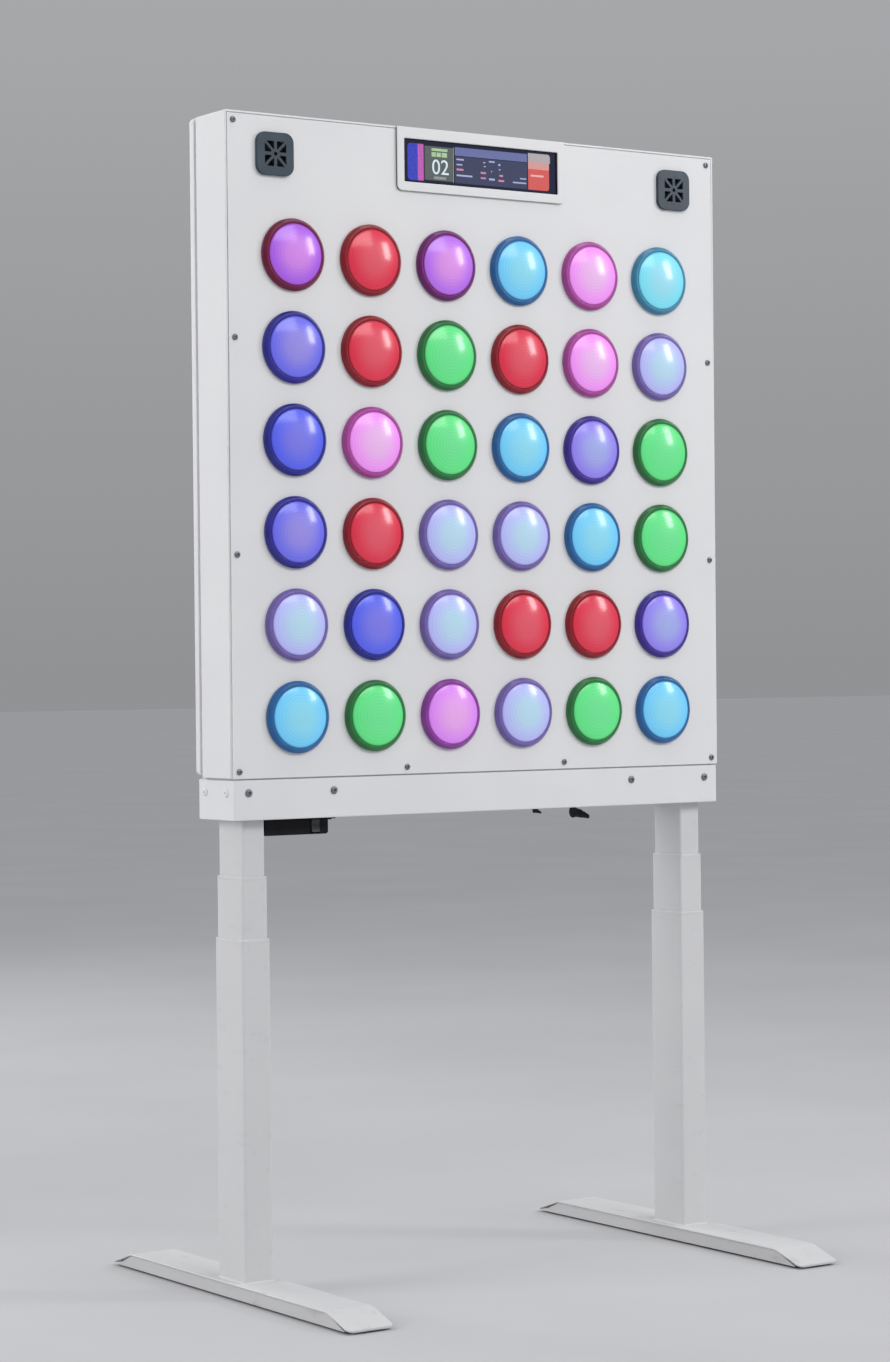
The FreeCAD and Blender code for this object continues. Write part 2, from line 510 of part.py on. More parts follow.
# ---------------------------------------------------------------- speakers
def speaker_grille(name, x):
    """Square grille plate with rounded corners, eight openings between its spokes and a hole in the hub."""
    body = DOC.addObject("PartDesign::Body", name)
    plane = next(item for item in body.Origin.OriginFeatures if item.Role == "XZ_Plane")
    half = "grille_width / 2"
    edge = body.newObject("Sketcher::SketchObject", name + "_edge")
    edge.AttachmentSupport = [(plane, "")]
    edge.MapMode = "FlatFace"
    outline(edge, [("-" + half, "-" + half), (half, "-" + half), (half, half), ("-" + half, half)])
    plate = body.newObject("PartDesign::Pad", name + "_plate")
    plate.Profile = edge
    bind(plate, Length="grille_proud")
    DOC.recompute()
    corners = body.newObject("PartDesign::Fillet", name + "_corners")
    upright = ["Edge%d" % index for index, side in enumerate(plate.Shape.Edges, start=1)
               if abs(side.Vertexes[0].Point.y - side.Vertexes[-1].Point.y) > 1e-6]
    corners.Base = (plate, upright)
    bind(corners, Radius="grille_corner")
    openings = body.newObject("Sketcher::SketchObject", name + "_opening")
    openings.AttachmentSupport = [(plane, "")]
    openings.MapMode = "FlatFace"
    reach = "grille_square / 2"
    near = "spoke_start"
    outline(openings, [("spoke_width / 2", near), ("spoke_width / 2", reach),
                       ("%s - spoke_corner" % reach, reach)])
    first = body.newObject("PartDesign::Pocket", name + "_first_opening")
    first.Profile = openings
    first.Type = "ThroughAll"
    first.Midplane = True
    second_sketch = body.newObject("Sketcher::SketchObject", name + "_second_opening")
    second_sketch.AttachmentSupport = [(plane, "")]
    second_sketch.MapMode = "FlatFace"
    outline(second_sketch, [("-spoke_width / 2", near), ("spoke_corner - %s" % reach, reach),
                            ("-spoke_width / 2", reach)])
    second = body.newObject("PartDesign::Pocket", name + "_second_pocket")
    second.Profile = second_sketch
    second.Type = "ThroughAll"
    second.Midplane = True
    around = body.newObject("PartDesign::PolarPattern", name + "_openings")
    around.Originals = [first, second]
    normal = next(item for item in body.Origin.OriginFeatures if item.Role == "Y_Axis")
    around.Axis = (normal, [""])
    around.Angle = 360
    around.Occurrences = 4
    hub = body.newObject("Sketcher::SketchObject", name + "_hub")
    hub.AttachmentSupport = [(plane, "")]
    hub.MapMode = "FlatFace"
    hub.addGeometry(Part.Circle(FreeCAD.Vector(), FreeCAD.Vector(0, 0, 1), SIZES["hub_hole"]))
    hub.addConstraint(Sketcher.Constraint("Coincident", 0, 3, -1, 1))
    hub.addConstraint(Sketcher.Constraint("Radius", 0, SIZES["hub_hole"]))
    hub.setExpression("Constraints[1]", sized("hub_hole"))
    hole = body.newObject("PartDesign::Pocket", name + "_hub_hole")
    hole.Profile = hub
    hole.Type = "ThroughAll"
    hole.Midplane = True
    body.Tip = hole
    return bind(body, x=x, y=FRONT, z=SPEAKER)


node("speaker_grilles", group("speaker_grilles", [
    speaker_grille("grille_%d" % side, x) for side, (x, _) in enumerate(SPEAKERS)]))
driver_section = profile("driver_section", [
    ("0", "cone_depth"), ("dust_cap", "cone_depth"), ("speaker_bore - driver_rim", "0"),
    ("speaker_bore + driver_flange", "0"), ("speaker_bore + driver_flange", "driver_sheet"),
    ("speaker_bore - driver_rim", "driver_sheet"), ("magnet_radius", "driver_depth / 2"),
    ("magnet_radius", "driver_depth"), ("0", "driver_depth")])
node("speaker_drivers", group("speaker_drivers", [
    turned("driver_%d" % side, driver_section, x, PANEL_BACK, z)
    for side, (x, z) in enumerate(SPEAKERS)]))

# ---------------------------------------------------------------- lit dome buttons
bezel_section = profile("bezel_section", [
    (BARREL_BORE, "-dish_floor"), (BORE, "-dish_floor"), (BORE, "-bezel_rim"), (BEZEL_LIP, "-bezel_rim"),
    (BEZEL, "-bezel_shoulder"), (BEZEL, "0"), (BARREL, "0"), (BARREL, "barrel_length"),
    (BARREL_BORE, "barrel_length")])
CAP_RISE = "(dome_crown - dome_edge)"
CAP_RADIUS = "((dome_radius * dome_radius + %s * %s) / (2 * %s))" % (CAP_RISE, CAP_RISE, CAP_RISE)
CAP_INNER = "(%s - dome_wall)" % CAP_RADIUS
WALL_RADIUS = "(dome_radius - dome_wall)"


def under_dome(radius):
    """Depth of the dome's inner face at a radius."""
    return "(%s - dome_crown - sqrt(%s * %s - %s * %s))" % (CAP_RADIUS, CAP_INNER, CAP_INNER, radius, radius)


dome_section = profile("dome_section", [
    ("0", "stem_depth"), ("stem_radius", "stem_depth"), ("stem_radius", under_dome("stem_radius")),
    (WALL_RADIUS, under_dome(WALL_RADIUS)), (WALL_RADIUS, "-dome_skirt"), ("dome_radius", "-dome_skirt"),
    ("dome_radius", "-dome_edge"), ("0", "-dome_crown")], arcs=(2, 6))
SPRING_INNER = "(%s + spring_gap)" % BARREL_BORE
SPRING_OUTER = "(%s + spring_thick)" % SPRING_INNER
spring_section = profile("spring_section", [
    (SPRING_INNER, "-dish_floor"), (SPRING_INNER, under_dome(SPRING_INNER)),
    (SPRING_OUTER, under_dome(SPRING_OUTER)), (SPRING_OUTER, "-dish_floor")], arcs=(1,))
nut_section = DOC.addObject("Part::RegularPolygon", "nut_section")
nut_section.Polygon = 6
bind(nut_section, Circumradius="2 * (%s + nut_wall) / sqrt(3)" % BARREL)


def button_switch(name, x, z):
    """Switch and lamp holder: a round plug in the barrel's end with the switch box behind it."""
    plug_start = "(stem_depth + switch_gap)"
    plug = rod(name + "_plug", "%s - plug_gap" % BARREL_BORE, "barrel_length - %s" % plug_start, "y", x,
               "%s + %s" % (FRONT, plug_start), z)
    case = box(name + "_case", "switch_width", "switch_length", "switch_thick", x,
               "%s + barrel_length" % FRONT, "%s - switch_thick / 2" % z)
    return fuse(name, [plug, case])


def button_nut(name, x, z):
    """Hexagon nut on the barrel behind the panel."""
    blank = DOC.addObject("Part::Extrusion", name + "_blank")
    blank.Base = nut_section
    blank.DirMode = "Custom"
    blank.Dir = FreeCAD.Vector(0, 0, 1)
    blank.Solid = True
    blank.Placement.Rotation = FreeCAD.Rotation(FreeCAD.Vector(1, 0, 0), -90)
    bind(blank, LengthFwd="nut_height", x=x, y=PANEL_BACK, z=z)
    bore = rod(name + "_bore", "%s + thread_gap" % BARREL, "nut_height", "y", x, PANEL_BACK, z)
    return cut(name, blank, [bore])


bezels = []
springs = []
switches = []
nuts = []
for (row, column), (x, z) in BUTTONS.items():
    tag = "r%d_c%d" % (row, column)
    node("button_" + tag, turned("button_" + tag, dome_section, x, FRONT, z))
    bezels.append(turned("bezel_" + tag, bezel_section, x, FRONT, z))
    springs.append(turned("spring_" + tag, spring_section, x, FRONT, z))
    switches.append(button_switch("switch_" + tag, x, z))
    nuts.append(button_nut("nut_" + tag, x, z))
node("button_bezels", group("button_bezels", bezels))
node("button_springs", group("button_springs", springs))
node("button_switches", group("button_switches", switches))

# ---------------------------------------------------------------- screws, and the button nuts with them
screw_section = profile("screw_section", [
    ("0", "-screw_dome"), ("screw_crown", "-screw_dome"), ("screw_head", "-screw_rim"),
    ("screw_head", "0"), ("screw_shank", "0"), ("screw_shank", "screw_length"), ("0", "screw_length")])
band_screw_section = profile("band_screw_section", [
    ("0", "-screw_dome"), ("band_crown", "-screw_dome"), ("band_head", "-screw_rim"),
    ("band_head", "0"), ("screw_shank", "0"), ("screw_shank", "screw_length"), ("0", "screw_length")])
long_screw_section = profile("long_screw_section", [
    ("0", "-screw_dome"), ("screw_crown", "-screw_dome"), ("screw_head", "-screw_rim"),
    ("screw_head", "0"), ("screw_shank", "0"), ("screw_shank", "rear_depth + rear_gap + screw_length"),
    ("0", "rear_depth + rear_gap + screw_length")])
screws = [turned("panel_screw_%d" % index, screw_section, x, FRONT, z)
          for index, (x, z) in enumerate(PANEL_SCREWS)]
screws += [turned("band_screw_%d" % index, band_screw_section, x, FRONT, BAND_SCREW_Z)
           for index, x in enumerate(FRONT_SCREWS)]
for index, y in enumerate(SIDE_SCREWS):
    for side in SIDES:
        screw = turned("side_screw_%d_%d" % (index, side), band_screw_section,
                       "%d * band_width / 2" % side, y, BAND_SCREW_Z)
        screw.Placement.Rotation = FreeCAD.Rotation(FreeCAD.Vector(0, 0, 1), 90 * side)
        screws.append(screw)
for index, (x, z) in enumerate(REAR_SCREWS):
    screw = turned("rear_screw_%d" % index, long_screw_section, x, COVER_BACK, z)
    screw.Placement.Rotation = FreeCAD.Rotation(FreeCAD.Vector(0, 0, 1), 180)
    screws.append(screw)
node("fasteners", group("fasteners", screws + nuts))

# ---------------------------------------------------------------- lift control box under the band
CONTROL_LEFT = "(column_centre - outer_wide / 2 - control_gap)"
CONTROL_X = "(control_wide / 2 - %s)" % CONTROL_LEFT
CONTROL_FRONT = "(-control_front)"
CONTROL_FLOOR = "(%s - control_drop)" % BAND_FLOOR
control_block = box("control_block", "control_wide", "control_deep", "control_drop", CONTROL_X, CONTROL_FRONT,
                    CONTROL_FLOOR)
control_ear = box("control_ear", "(control_wide / 2 + control_ear)", "control_deep", "control_ear_thick",
                  "(%s + control_wide / 4 + control_ear / 2)" % CONTROL_X, CONTROL_FRONT,
                  "%s - control_ear_thick" % BAND_FLOOR)
ROCKER_X = "(control_wide - %s - rocker_inset)" % CONTROL_LEFT
ROCKER_Z = "(%s - control_drop / 2)" % BAND_FLOOR
pocket_tall = "(rocker_tall + 2 * rocker_gap + 2 * rocker_swing)"
rocker_pocket = box("rocker_pocket", "rocker_wide + 2 * rocker_gap", "rocker_deep + 2 * rocker_swing",
                    pocket_tall, ROCKER_X, CONTROL_FRONT, "%s - %s / 2" % (ROCKER_Z, pocket_tall))
node("lift_control_box", cut("lift_control_box", fuse("control_body", [control_block, control_ear]),
                             [rocker_pocket]))
rocker_sketch = DOC.addObject("Sketcher::SketchObject", "rocker_sketch")
outline(rocker_sketch, [("-rocker_proud", "-rocker_tall / 2"), ("-rocker_proud / 2", "0"),
                        ("-rocker_proud", "rocker_tall / 2"), ("0", "rocker_tall / 2"),
                        ("rocker_deep", "rocker_tall / 4"), ("rocker_deep", "-rocker_tall / 4"),
                        ("0", "-rocker_tall / 2")])
rocker = DOC.addObject("Part::Extrusion", "lift_rocker")
rocker.Base = rocker_sketch
rocker.DirMode = "Custom"
rocker.Dir = FreeCAD.Vector(0, 0, 1)
rocker.Solid = True
rocker.Placement.Rotation = FreeCAD.Rotation(FreeCAD.Vector(1, 1, 1), 120)
node("lift_rocker", bind(rocker, LengthFwd="rocker_wide", x="%s - rocker_wide / 2" % ROCKER_X,
                         y=CONTROL_FRONT, z=ROCKER_Z))

# ---------------------------------------------------------------- game controller on the rear cover
BOARD_Y = "(%s - rear_sheet - board_post - board_thick)" % COVER_BACK
BOARD_Z = "(%s + board_lift)" % COVER_FLOOR
board = box("board", "board_wide", "board_thick", "board_tall", y=BOARD_Y, z=BOARD_Z)
posts = [rod("post_%d_%d" % (side, level), "board_post_radius", "board_post", "y",
             x, "%s + board_thick" % BOARD_Y, z)
         for side, x in enumerate(mirrored_pair("(board_wide / 2 - 2 * board_post_radius)"))
         for level, z in enumerate(("%s + 2 * board_post_radius" % BOARD_Z,
                                    "%s + board_tall - 2 * board_post_radius" % BOARD_Z))]
chip = box("board_chip", "board_tall / 3", "2 * board_thick", "board_tall / 3",
           y="%s - 2 * board_thick" % BOARD_Y, z="%s + board_tall / 3" % BOARD_Z)
jack = rod("power_jack", "jack_radius", "board_post + 2 * rear_sheet", "y",
           y="%s - board_post" % COVER_BACK, z=JACK_Z)
node("controller_board", group("controller_board", [fuse("board_assembly", [board, chip] + posts), jack]))

# ---------------------------------------------------------------- checks and export
DOC.recompute()
faults = [thing.Name for thing in DOC.Objects if "Invalid" in thing.State or "Error" in thing.State]
faults += [thing.Label for thing in PARTS if thing.Shape.isNull() or not thing.Shape.isValid()]
if faults:
    raise RuntimeError("faulty objects: " + ", ".join(faults))
os.makedirs("parts", exist_ok=True)
for thing in PARTS:
    thing.Shape.exportStep("parts/%s.step" % thing.Label)
print("wrote %d parts, %d solids" % (len(PARTS), sum(len(thing.Shape.Solids) for thing in PARTS)))
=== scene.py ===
import json
import math

import bpy
import numpy as np
from mathutils import Matrix, Vector


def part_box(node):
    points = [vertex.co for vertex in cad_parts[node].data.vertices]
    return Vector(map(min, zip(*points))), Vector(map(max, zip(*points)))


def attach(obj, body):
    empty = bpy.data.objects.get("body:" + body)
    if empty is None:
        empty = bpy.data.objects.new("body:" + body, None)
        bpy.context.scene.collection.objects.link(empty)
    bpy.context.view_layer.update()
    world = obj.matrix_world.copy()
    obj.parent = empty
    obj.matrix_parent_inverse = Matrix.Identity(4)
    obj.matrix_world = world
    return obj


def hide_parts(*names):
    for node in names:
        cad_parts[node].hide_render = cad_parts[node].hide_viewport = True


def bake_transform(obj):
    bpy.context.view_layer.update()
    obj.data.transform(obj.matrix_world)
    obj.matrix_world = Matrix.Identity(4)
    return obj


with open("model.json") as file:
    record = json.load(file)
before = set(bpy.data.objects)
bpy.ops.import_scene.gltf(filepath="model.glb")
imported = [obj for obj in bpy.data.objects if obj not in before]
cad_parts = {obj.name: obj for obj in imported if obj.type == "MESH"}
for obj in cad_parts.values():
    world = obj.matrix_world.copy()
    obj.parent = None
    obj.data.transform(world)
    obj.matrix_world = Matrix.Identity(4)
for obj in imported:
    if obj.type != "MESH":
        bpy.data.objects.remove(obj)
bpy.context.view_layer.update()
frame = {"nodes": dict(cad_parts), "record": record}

# ------------------------------------------------------------------ camera, floor and studio light
# The machine is seen from its left and from a little above half its height, on a pale studio floor. A broad
# soft panel high in front is the strongest light. A narrow one stands at the right, one at the left and one
# behind, and a weak one hangs overhead.
CAMERA_TURN, CAMERA_RISE, CAMERA_ROLL = (math.radians(angle) for angle in (-34.222, 0.3074, -0.5896))
CAMERA_PLACE = (-2.96765, -4.30028, 0.95622)
cos_turn, sin_turn = math.cos(CAMERA_TURN), math.sin(CAMERA_TURN)
away = np.array([sin_turn * math.cos(CAMERA_RISE), -cos_turn * math.cos(CAMERA_RISE), math.sin(CAMERA_RISE)])
level = np.array([cos_turn, sin_turn, 0.0])
upward = np.cross(away, level)
camera_axes = np.eye(4)
camera_axes[:3, 0] = math.cos(CAMERA_ROLL) * level + math.sin(CAMERA_ROLL) * upward
camera_axes[:3, 1] = math.cos(CAMERA_ROLL) * upward - math.sin(CAMERA_ROLL) * level
camera_axes[:3, 2] = away
camera_axes[:3, 3] = CAMERA_PLACE
camera = bpy.data.objects.new("camera", bpy.data.cameras.new("camera"))
camera.data.lens = 86.952
camera.data.sensor_width = 36.0
camera.data.clip_end = 200.0
camera.matrix_world = Matrix(camera_axes.tolist())
bpy.context.scene.collection.objects.link(camera)
bpy.context.scene.camera = camera
bpy.context.scene.view_settings.view_transform = "Standard"


def new_finish(name, colour, roughness, metallic=0.0):
    """Material with one Principled shader, returned with its node tree and that shader."""
    finish = bpy.data.materials.new(name)
    finish.use_nodes = True
    tree = finish.node_tree
    shader = tree.nodes["Principled BSDF"]
    shader.inputs["Base Color"].default_value = (*colour, 1.0)
    shader.inputs["Roughness"].default_value = roughness
    shader.inputs["Metallic"].default_value = metallic
    return finish, tree, shader


def mottle(tree, scale, detail=4.0, stretch=(1.0, 1.0, 1.0)):
    """Noise over Object coordinates with scale cells to the metre, drawn out along the axes by stretch."""
    place = tree.nodes.new("ShaderNodeTexCoord")
    mapping = tree.nodes.new("ShaderNodeMapping")
    mapping.inputs["Scale"].default_value = stretch
    cloud = tree.nodes.new("ShaderNodeTexNoise")
    cloud.inputs["Scale"].default_value = scale
    cloud.inputs["Detail"].default_value = detail
    tree.links.new(place.outputs["Object"], mapping.inputs["Vector"])
    tree.links.new(mapping.outputs["Vector"], cloud.inputs["Vector"])
    return cloud.outputs["Fac"]


def graded(tree, factor, stops):
    """Grey or colour that runs through the stops, each a place from 0 to 1 and a tone."""
    ramp = tree.nodes.new("ShaderNodeValToRGB")
    while len(ramp.color_ramp.elements) < len(stops):
        ramp.color_ramp.elements.new(0.5)
    for element, (place, tone) in zip(ramp.color_ramp.elements, stops):
        element.position = place
        element.color = (*tone, 1.0) if hasattr(tone, "__len__") else (tone, tone, tone, 1.0)
    tree.links.new(factor, ramp.inputs["Fac"])
    return ramp.outputs["Color"]


def varied(tree, shader, socket, scale, stops, detail=4.0, stretch=(1.0, 1.0, 1.0)):
    """Noise of scale cells to the metre, run through the stops, into one socket of a shader."""
    tree.links.new(graded(tree, mottle(tree, scale, detail, stretch), stops), shader.inputs[socket])


def embossed(tree, shader, height, strength, depth):
    """Bump from a height, over a depth in metres."""
    bump = tree.nodes.new("ShaderNodeBump")
    bump.inputs["Strength"].default_value = strength
    bump.inputs["Distance"].default_value = depth
    tree.links.new(height, bump.inputs["Height"])
    tree.links.new(bump.outputs["Normal"], shader.inputs["Normal"])


studio_floor, floor_tree, floor_shader = new_finish("studio_floor", (0.6, 0.6, 0.6), 0.7)
varied(floor_tree, floor_shader, "Base Color", 1.5, [(0.3, (0.47, 0.47, 0.48)), (0.7, (0.50, 0.50, 0.51))])
FLOOR_REACH = 60.0
floor_mesh = bpy.data.meshes.new("floor")
floor_mesh.from_pydata([(-FLOOR_REACH, -FLOOR_REACH, 0), (FLOOR_REACH, -FLOOR_REACH, 0),
                        (FLOOR_REACH, FLOOR_REACH, 0), (-FLOOR_REACH, FLOOR_REACH, 0)], [], [(0, 1, 2, 3)])
floor_mesh.materials.append(studio_floor)
floor = bpy.data.objects.new("floor", floor_mesh)
bpy.context.scene.collection.objects.link(floor)

sky = bpy.data.worlds.new("studio_sky")
sky.use_nodes = True
sky_place = sky.node_tree.nodes.new("ShaderNodeTexCoord")
sky_split = sky.node_tree.nodes.new("ShaderNodeSeparateXYZ")
sky.node_tree.links.new(sky_place.outputs["Generated"], sky_split.inputs["Vector"])
sky_tone = graded(sky.node_tree, sky_split.outputs["Z"],
                  [(0.0, (0.285, 0.290, 0.300)), (0.10, (0.33, 0.335, 0.345)), (0.5, (0.56, 0.565, 0.58)),
                   (1.0, (0.70, 0.71, 0.73))])
sky.node_tree.links.new(sky_tone, sky.node_tree.nodes["Background"].inputs["Color"])
bpy.context.scene.world = sky


def soft_panel(name, place, aim, wide, tall, power):
    """Rectangular area light at a place, turned towards a point."""
    lamp = bpy.data.lights.new(name, "AREA")
    lamp.shape = "RECTANGLE"
    lamp.size = wide
    lamp.size_y = tall
    lamp.energy = power
    light = bpy.data.objects.new(name, lamp)
    light.location = place
    light.rotation_euler = (Vector(aim) - Vector(place)).to_track_quat("-Z", "Y").to_euler()
    bpy.context.scene.collection.objects.link(light)


soft_panel("key_panel", (3.6, -3.0, 2.95), (0.0, 0.0, 1.2), 0.8, 1.4, 56.0)
soft_panel("front_panel_light", (0.9, -4.4, 4.5), (0.0, 0.0, 1.1), 3.2, 2.0, 98.0)
soft_panel("side_panel", (-4.5, 0.8, 2.2), (0.0, 0.0, 1.0), 2.0, 2.6, 78.0)
soft_panel("back_panel", (-1.0, 5.0, 2.8), (0.0, 0.0, 1.2), 2.4, 2.4, 78.0)
soft_panel("overhead_panel", (0.9, -0.3, 4.2), (0.0, 0.0, 1.2), 1.4, 1.4, 16.0)

# ------------------------------------------------------------------ feet
# Each foot is a bent steel strap with rounded toes, welded over a narrower folded channel, all powder
# coated white. The strap stands proud of the channel on both sides, so a thin shadow runs under its edge.
STRAP_THICK, TOE_HEIGHT, TOE_CORNER, SLOPE_REACH, BEND_EASE = 0.003, 0.0032, 0.009, 0.0585, 0.006
CHANNEL_INSET, CHANNEL_WALL, CHANNEL_HEEL, FOOT_GAP = 0.0025, 0.003, 0.0004, 0.003
TAPER_SHORT = SLOPE_REACH / 4
COLUMN_X = abs(frame["record"]["mounts"][0]["pos_m"][0])
feet_low, feet_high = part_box("feet")
FOOT_WIDTH = 2 * (feet_high[0] - COLUMN_X)


def grid_faces(rows, columns, round_rows, round_columns):
    """Quads of a grid of points, closed on itself down the rows or across the columns where asked."""
    down = np.arange(rows if round_rows else rows - 1)
    across = np.arange(columns if round_columns else columns - 1)
    row, column = (part.ravel() for part in np.meshgrid(down, across, indexing="ij"))
    next_row, next_column = (row + 1) % rows, (column + 1) % columns
    return np.stack([row * columns + column, row * columns + next_column,
                     next_row * columns + next_column, next_row * columns + column], axis=1)


def skin(points, ring=False):
    """Closed skin of a (rows, columns, 3) grid whose columns run round: its last row joins the first one
    when it is a ring, and else its two end rows are filled in. Its enclosed volume tells whether the faces
    point out."""
    rows, columns = points.shape[:2]
    quads = grid_faces(rows, columns, ring, True)
    faces = quads.tolist()
    flat = points.reshape(-1, 3)
    triangles = np.concatenate([quads[:, [0, 1, 2]], quads[:, [0, 2, 3]]])
    if not ring:
        top = (rows - 1) * columns
        faces += [list(range(columns))[::-1], list(range(top, top + columns))]
        fan = np.arange(1, columns - 1)
        triangles = np.concatenate([triangles, np.stack([fan * 0, fan + 1, fan], axis=1),
                                    np.stack([fan * 0 + top, fan + top, fan + top + 1], axis=1)])
    a, b, c = (flat[triangles[:, corner]] for corner in range(3))
    if np.einsum("ij,ij->i", a, np.cross(b, c)).sum() < 0:
        faces = [face[::-1] for face in faces]
    return flat, faces


def make_piece(name, skins, finish, body, nodes, smooth_angle=32.0, weighted=True):
    """Piece of one or more skins, shaded smooth except across sharp edges. It stands for its CAD nodes and
    rides on a body, unless the body is None, when it is still free to be blended between two."""
    points = np.concatenate([part[0] for part in skins])
    starts = np.cumsum([0] + [len(part[0]) for part in skins])
    faces = [[corner + start for corner in face] for part, start in zip(skins, starts) for face in part[1]]
    mesh = bpy.data.meshes.new(name)
    mesh.from_pydata(points.tolist(), [], faces)
    mesh.polygons.foreach_set("use_smooth", np.ones(len(faces), dtype=bool))
    mesh.set_sharp_from_angle(angle=math.radians(smooth_angle))
    mesh.materials.append(finish)
    mesh.update()
    piece = bpy.data.objects.new(name, mesh)
    bpy.context.scene.collection.objects.link(piece)
    if weighted:
        even = piece.modifiers.new("even_normals", "WEIGHTED_NORMAL")
        even.keep_sharp = True
    if body:
        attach(piece, body)
    if nodes:
        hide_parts(*nodes)
    return piece


def paint(red, green, blue):
    """Linear colour for a display colour given from 0 to 255: each channel, as a share of 255, has 0.055
    added, is divided by 1.055 and raised to the power 2.4."""
    return tuple(((channel / 255 + 0.055) / 1.055) ** 2.4 for channel in (red, green, blue))


def powder_coat(name, tone, scuffs=0.0):
    """Satin white powder coat: fine orange peel, slightly uneven tone and, where it is kicked, darker
    scuffs."""
    finish, tree, shader = new_finish(name, (tone, tone, tone), 0.4)
    base = graded(tree, mottle(tree, 7.0, 5.0), [(0.3, (tone * 0.96, tone * 0.96, tone * 0.975)),
                                                 (0.7, (tone, tone, tone * 1.01))])
    if scuffs:
        marks = graded(tree, mottle(tree, 45.0, 8.0, (1.0, 0.3, 1.4)), [(0.60, 0.0), (0.74, scuffs)])
        darker = tree.nodes.new("ShaderNodeMixRGB")
        darker.inputs["Color2"].default_value = (tone * 0.5, tone * 0.5, tone * 0.51, 1.0)
        tree.links.new(marks, darker.inputs["Fac"])
        tree.links.new(base, darker.inputs["Color1"])
        base = darker.outputs["Color"]
    tree.links.new(base, shader.inputs["Base Color"])
    varied(tree, shader, "Roughness", 30.0, [(0.3, 0.44), (0.7, 0.54)], detail=3.0)
    shader.inputs["Specular IOR Level"].default_value = 0.3
    embossed(tree, shader, mottle(tree, 900.0, 2.0), 0.10, 0.0003)
    return finish


frame_coat = powder_coat("frame_powder_coat", 0.60, scuffs=0.30)


def strap_top(along):
    """Height of the strap's top: level, then sloping down to the toe, blended through the bend by a
    hyperbola."""
    slope = (feet_high[2] - FOOT_GAP - TOE_HEIGHT) / SLOPE_REACH
    drop = FOOT_GAP + TOE_HEIGHT + (feet_high[1] - np.abs(along)) * slope - feet_high[2]
    return feet_high[2] + (drop - np.sqrt(drop ** 2 + (BEND_EASE * slope / 2) ** 2)) / 2


def make_foot(name, centre_x, nodes):
    """Strap, a flat section with eased edges carried along Y and narrowed by a quarter circle at each
    corner of the toes, over a folded channel whose sides taper in a straight line to a point short of each
    toe."""
    reach = feet_high[1]
    toes = reach - TOE_CORNER * (1 - np.sin(np.linspace(0.05, 0.999, 9) * math.pi / 2))
    half = np.concatenate([np.linspace(0.0, reach - SLOPE_REACH - 0.02, 5),
                           reach - SLOPE_REACH + np.linspace(-3.0, 3.0, 13) * BEND_EASE, toes])
    along = np.concatenate([-half[::-1], half[1:]])
    into = np.clip(TOE_CORNER - (reach - np.abs(along)), 0.0, TOE_CORNER)
    half_width = FOOT_WIDTH / 2 - TOE_CORNER + np.sqrt(TOE_CORNER ** 2 - into ** 2)
    bow = np.array([(-1, -0.7), (-0.985, -0.9), (-0.96, -1), (0.96, -1), (0.985, -0.9), (1, -0.7), (1, -0.3),
                    (0.985, -0.1), (0.96, 0), (-0.96, 0), (-0.985, -0.1), (-1, -0.3)])
    x = centre_x + bow[None, :, 0] * half_width[:, None]
    z = strap_top(along)[:, None] + bow[None, :, 1] * STRAP_THICK
    strap = skin(np.stack([x, np.broadcast_to(along[:, None], x.shape), z], axis=2))
    outer = FOOT_WIDTH / 2 - CHANNEL_INSET
    inner = outer - CHANNEL_WALL
    fold = np.array([(-outer, 0.0), (outer, 0.0), (outer, 1.0), (inner, 1.0), (inner, 0.14), (-inner, 0.14),
                     (-inner, 1.0), (-outer, 1.0)])
    shoulder, tip, heel = reach - SLOPE_REACH, reach - TAPER_SHORT, FOOT_GAP + CHANNEL_HEEL
    level_part = along[np.abs(along) < shoulder - BEND_EASE]
    inside = np.concatenate([[-tip, -shoulder], level_part, [shoulder, tip]])
    taper = (feet_high[2] - STRAP_THICK - heel) / (tip - shoulder)
    under = np.minimum(strap_top(inside) - STRAP_THICK, heel + (tip - np.abs(inside)) * taper)[:, None]
    x = np.broadcast_to(centre_x + fold[None, :, 0], (len(inside), len(fold)))
    z = under + (FOOT_GAP - under) * fold[None, :, 1]
    channel = skin(np.stack([x, np.broadcast_to(inside[:, None], x.shape), z], axis=2))
    make_piece(name, [strap, channel], frame_coat, "base", nodes)


make_foot("foot_left", -COLUMN_X, ["feet"])
make_foot("foot_right", COLUMN_X, ["feet"])

# ------------------------------------------------------------------ levelling glides
# A moulded black disc on a steel stud is screwed up into each end of a foot and carries it clear of the
# floor. The disc has a knurled edge for turning it by hand.
glides_low, glides_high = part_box("foot_glides")
GLIDE_STEPS = 48


def turned(stations, steps, centre, axis, flats=()):
    """Grid of points of a turned shape: a list of (radius, distance along the axis) swept round the axis.
    Rows numbered in flats have six flats: radius divided by the cosine of the angle from the nearest flat's
    middle."""
    stations = np.asarray(stations, float)
    angle = np.linspace(0.0, 2 * math.pi, steps, endpoint=False)
    radius = np.repeat(stations[:, :1], steps, axis=1)
    hexagon = 1 / np.cos((angle + math.pi / 6) % (math.pi / 3) - math.pi / 6)
    radius[list(flats)] *= hexagon
    across, up = radius * np.cos(angle), radius * np.sin(angle)
    along = np.broadcast_to(stations[:, 1:], across.shape)
    order = {"z": (across, up, along), "y": (across, along, up), "x": (along, across, up)}[axis]
    return np.stack(order, axis=2) + np.asarray(centre, float)


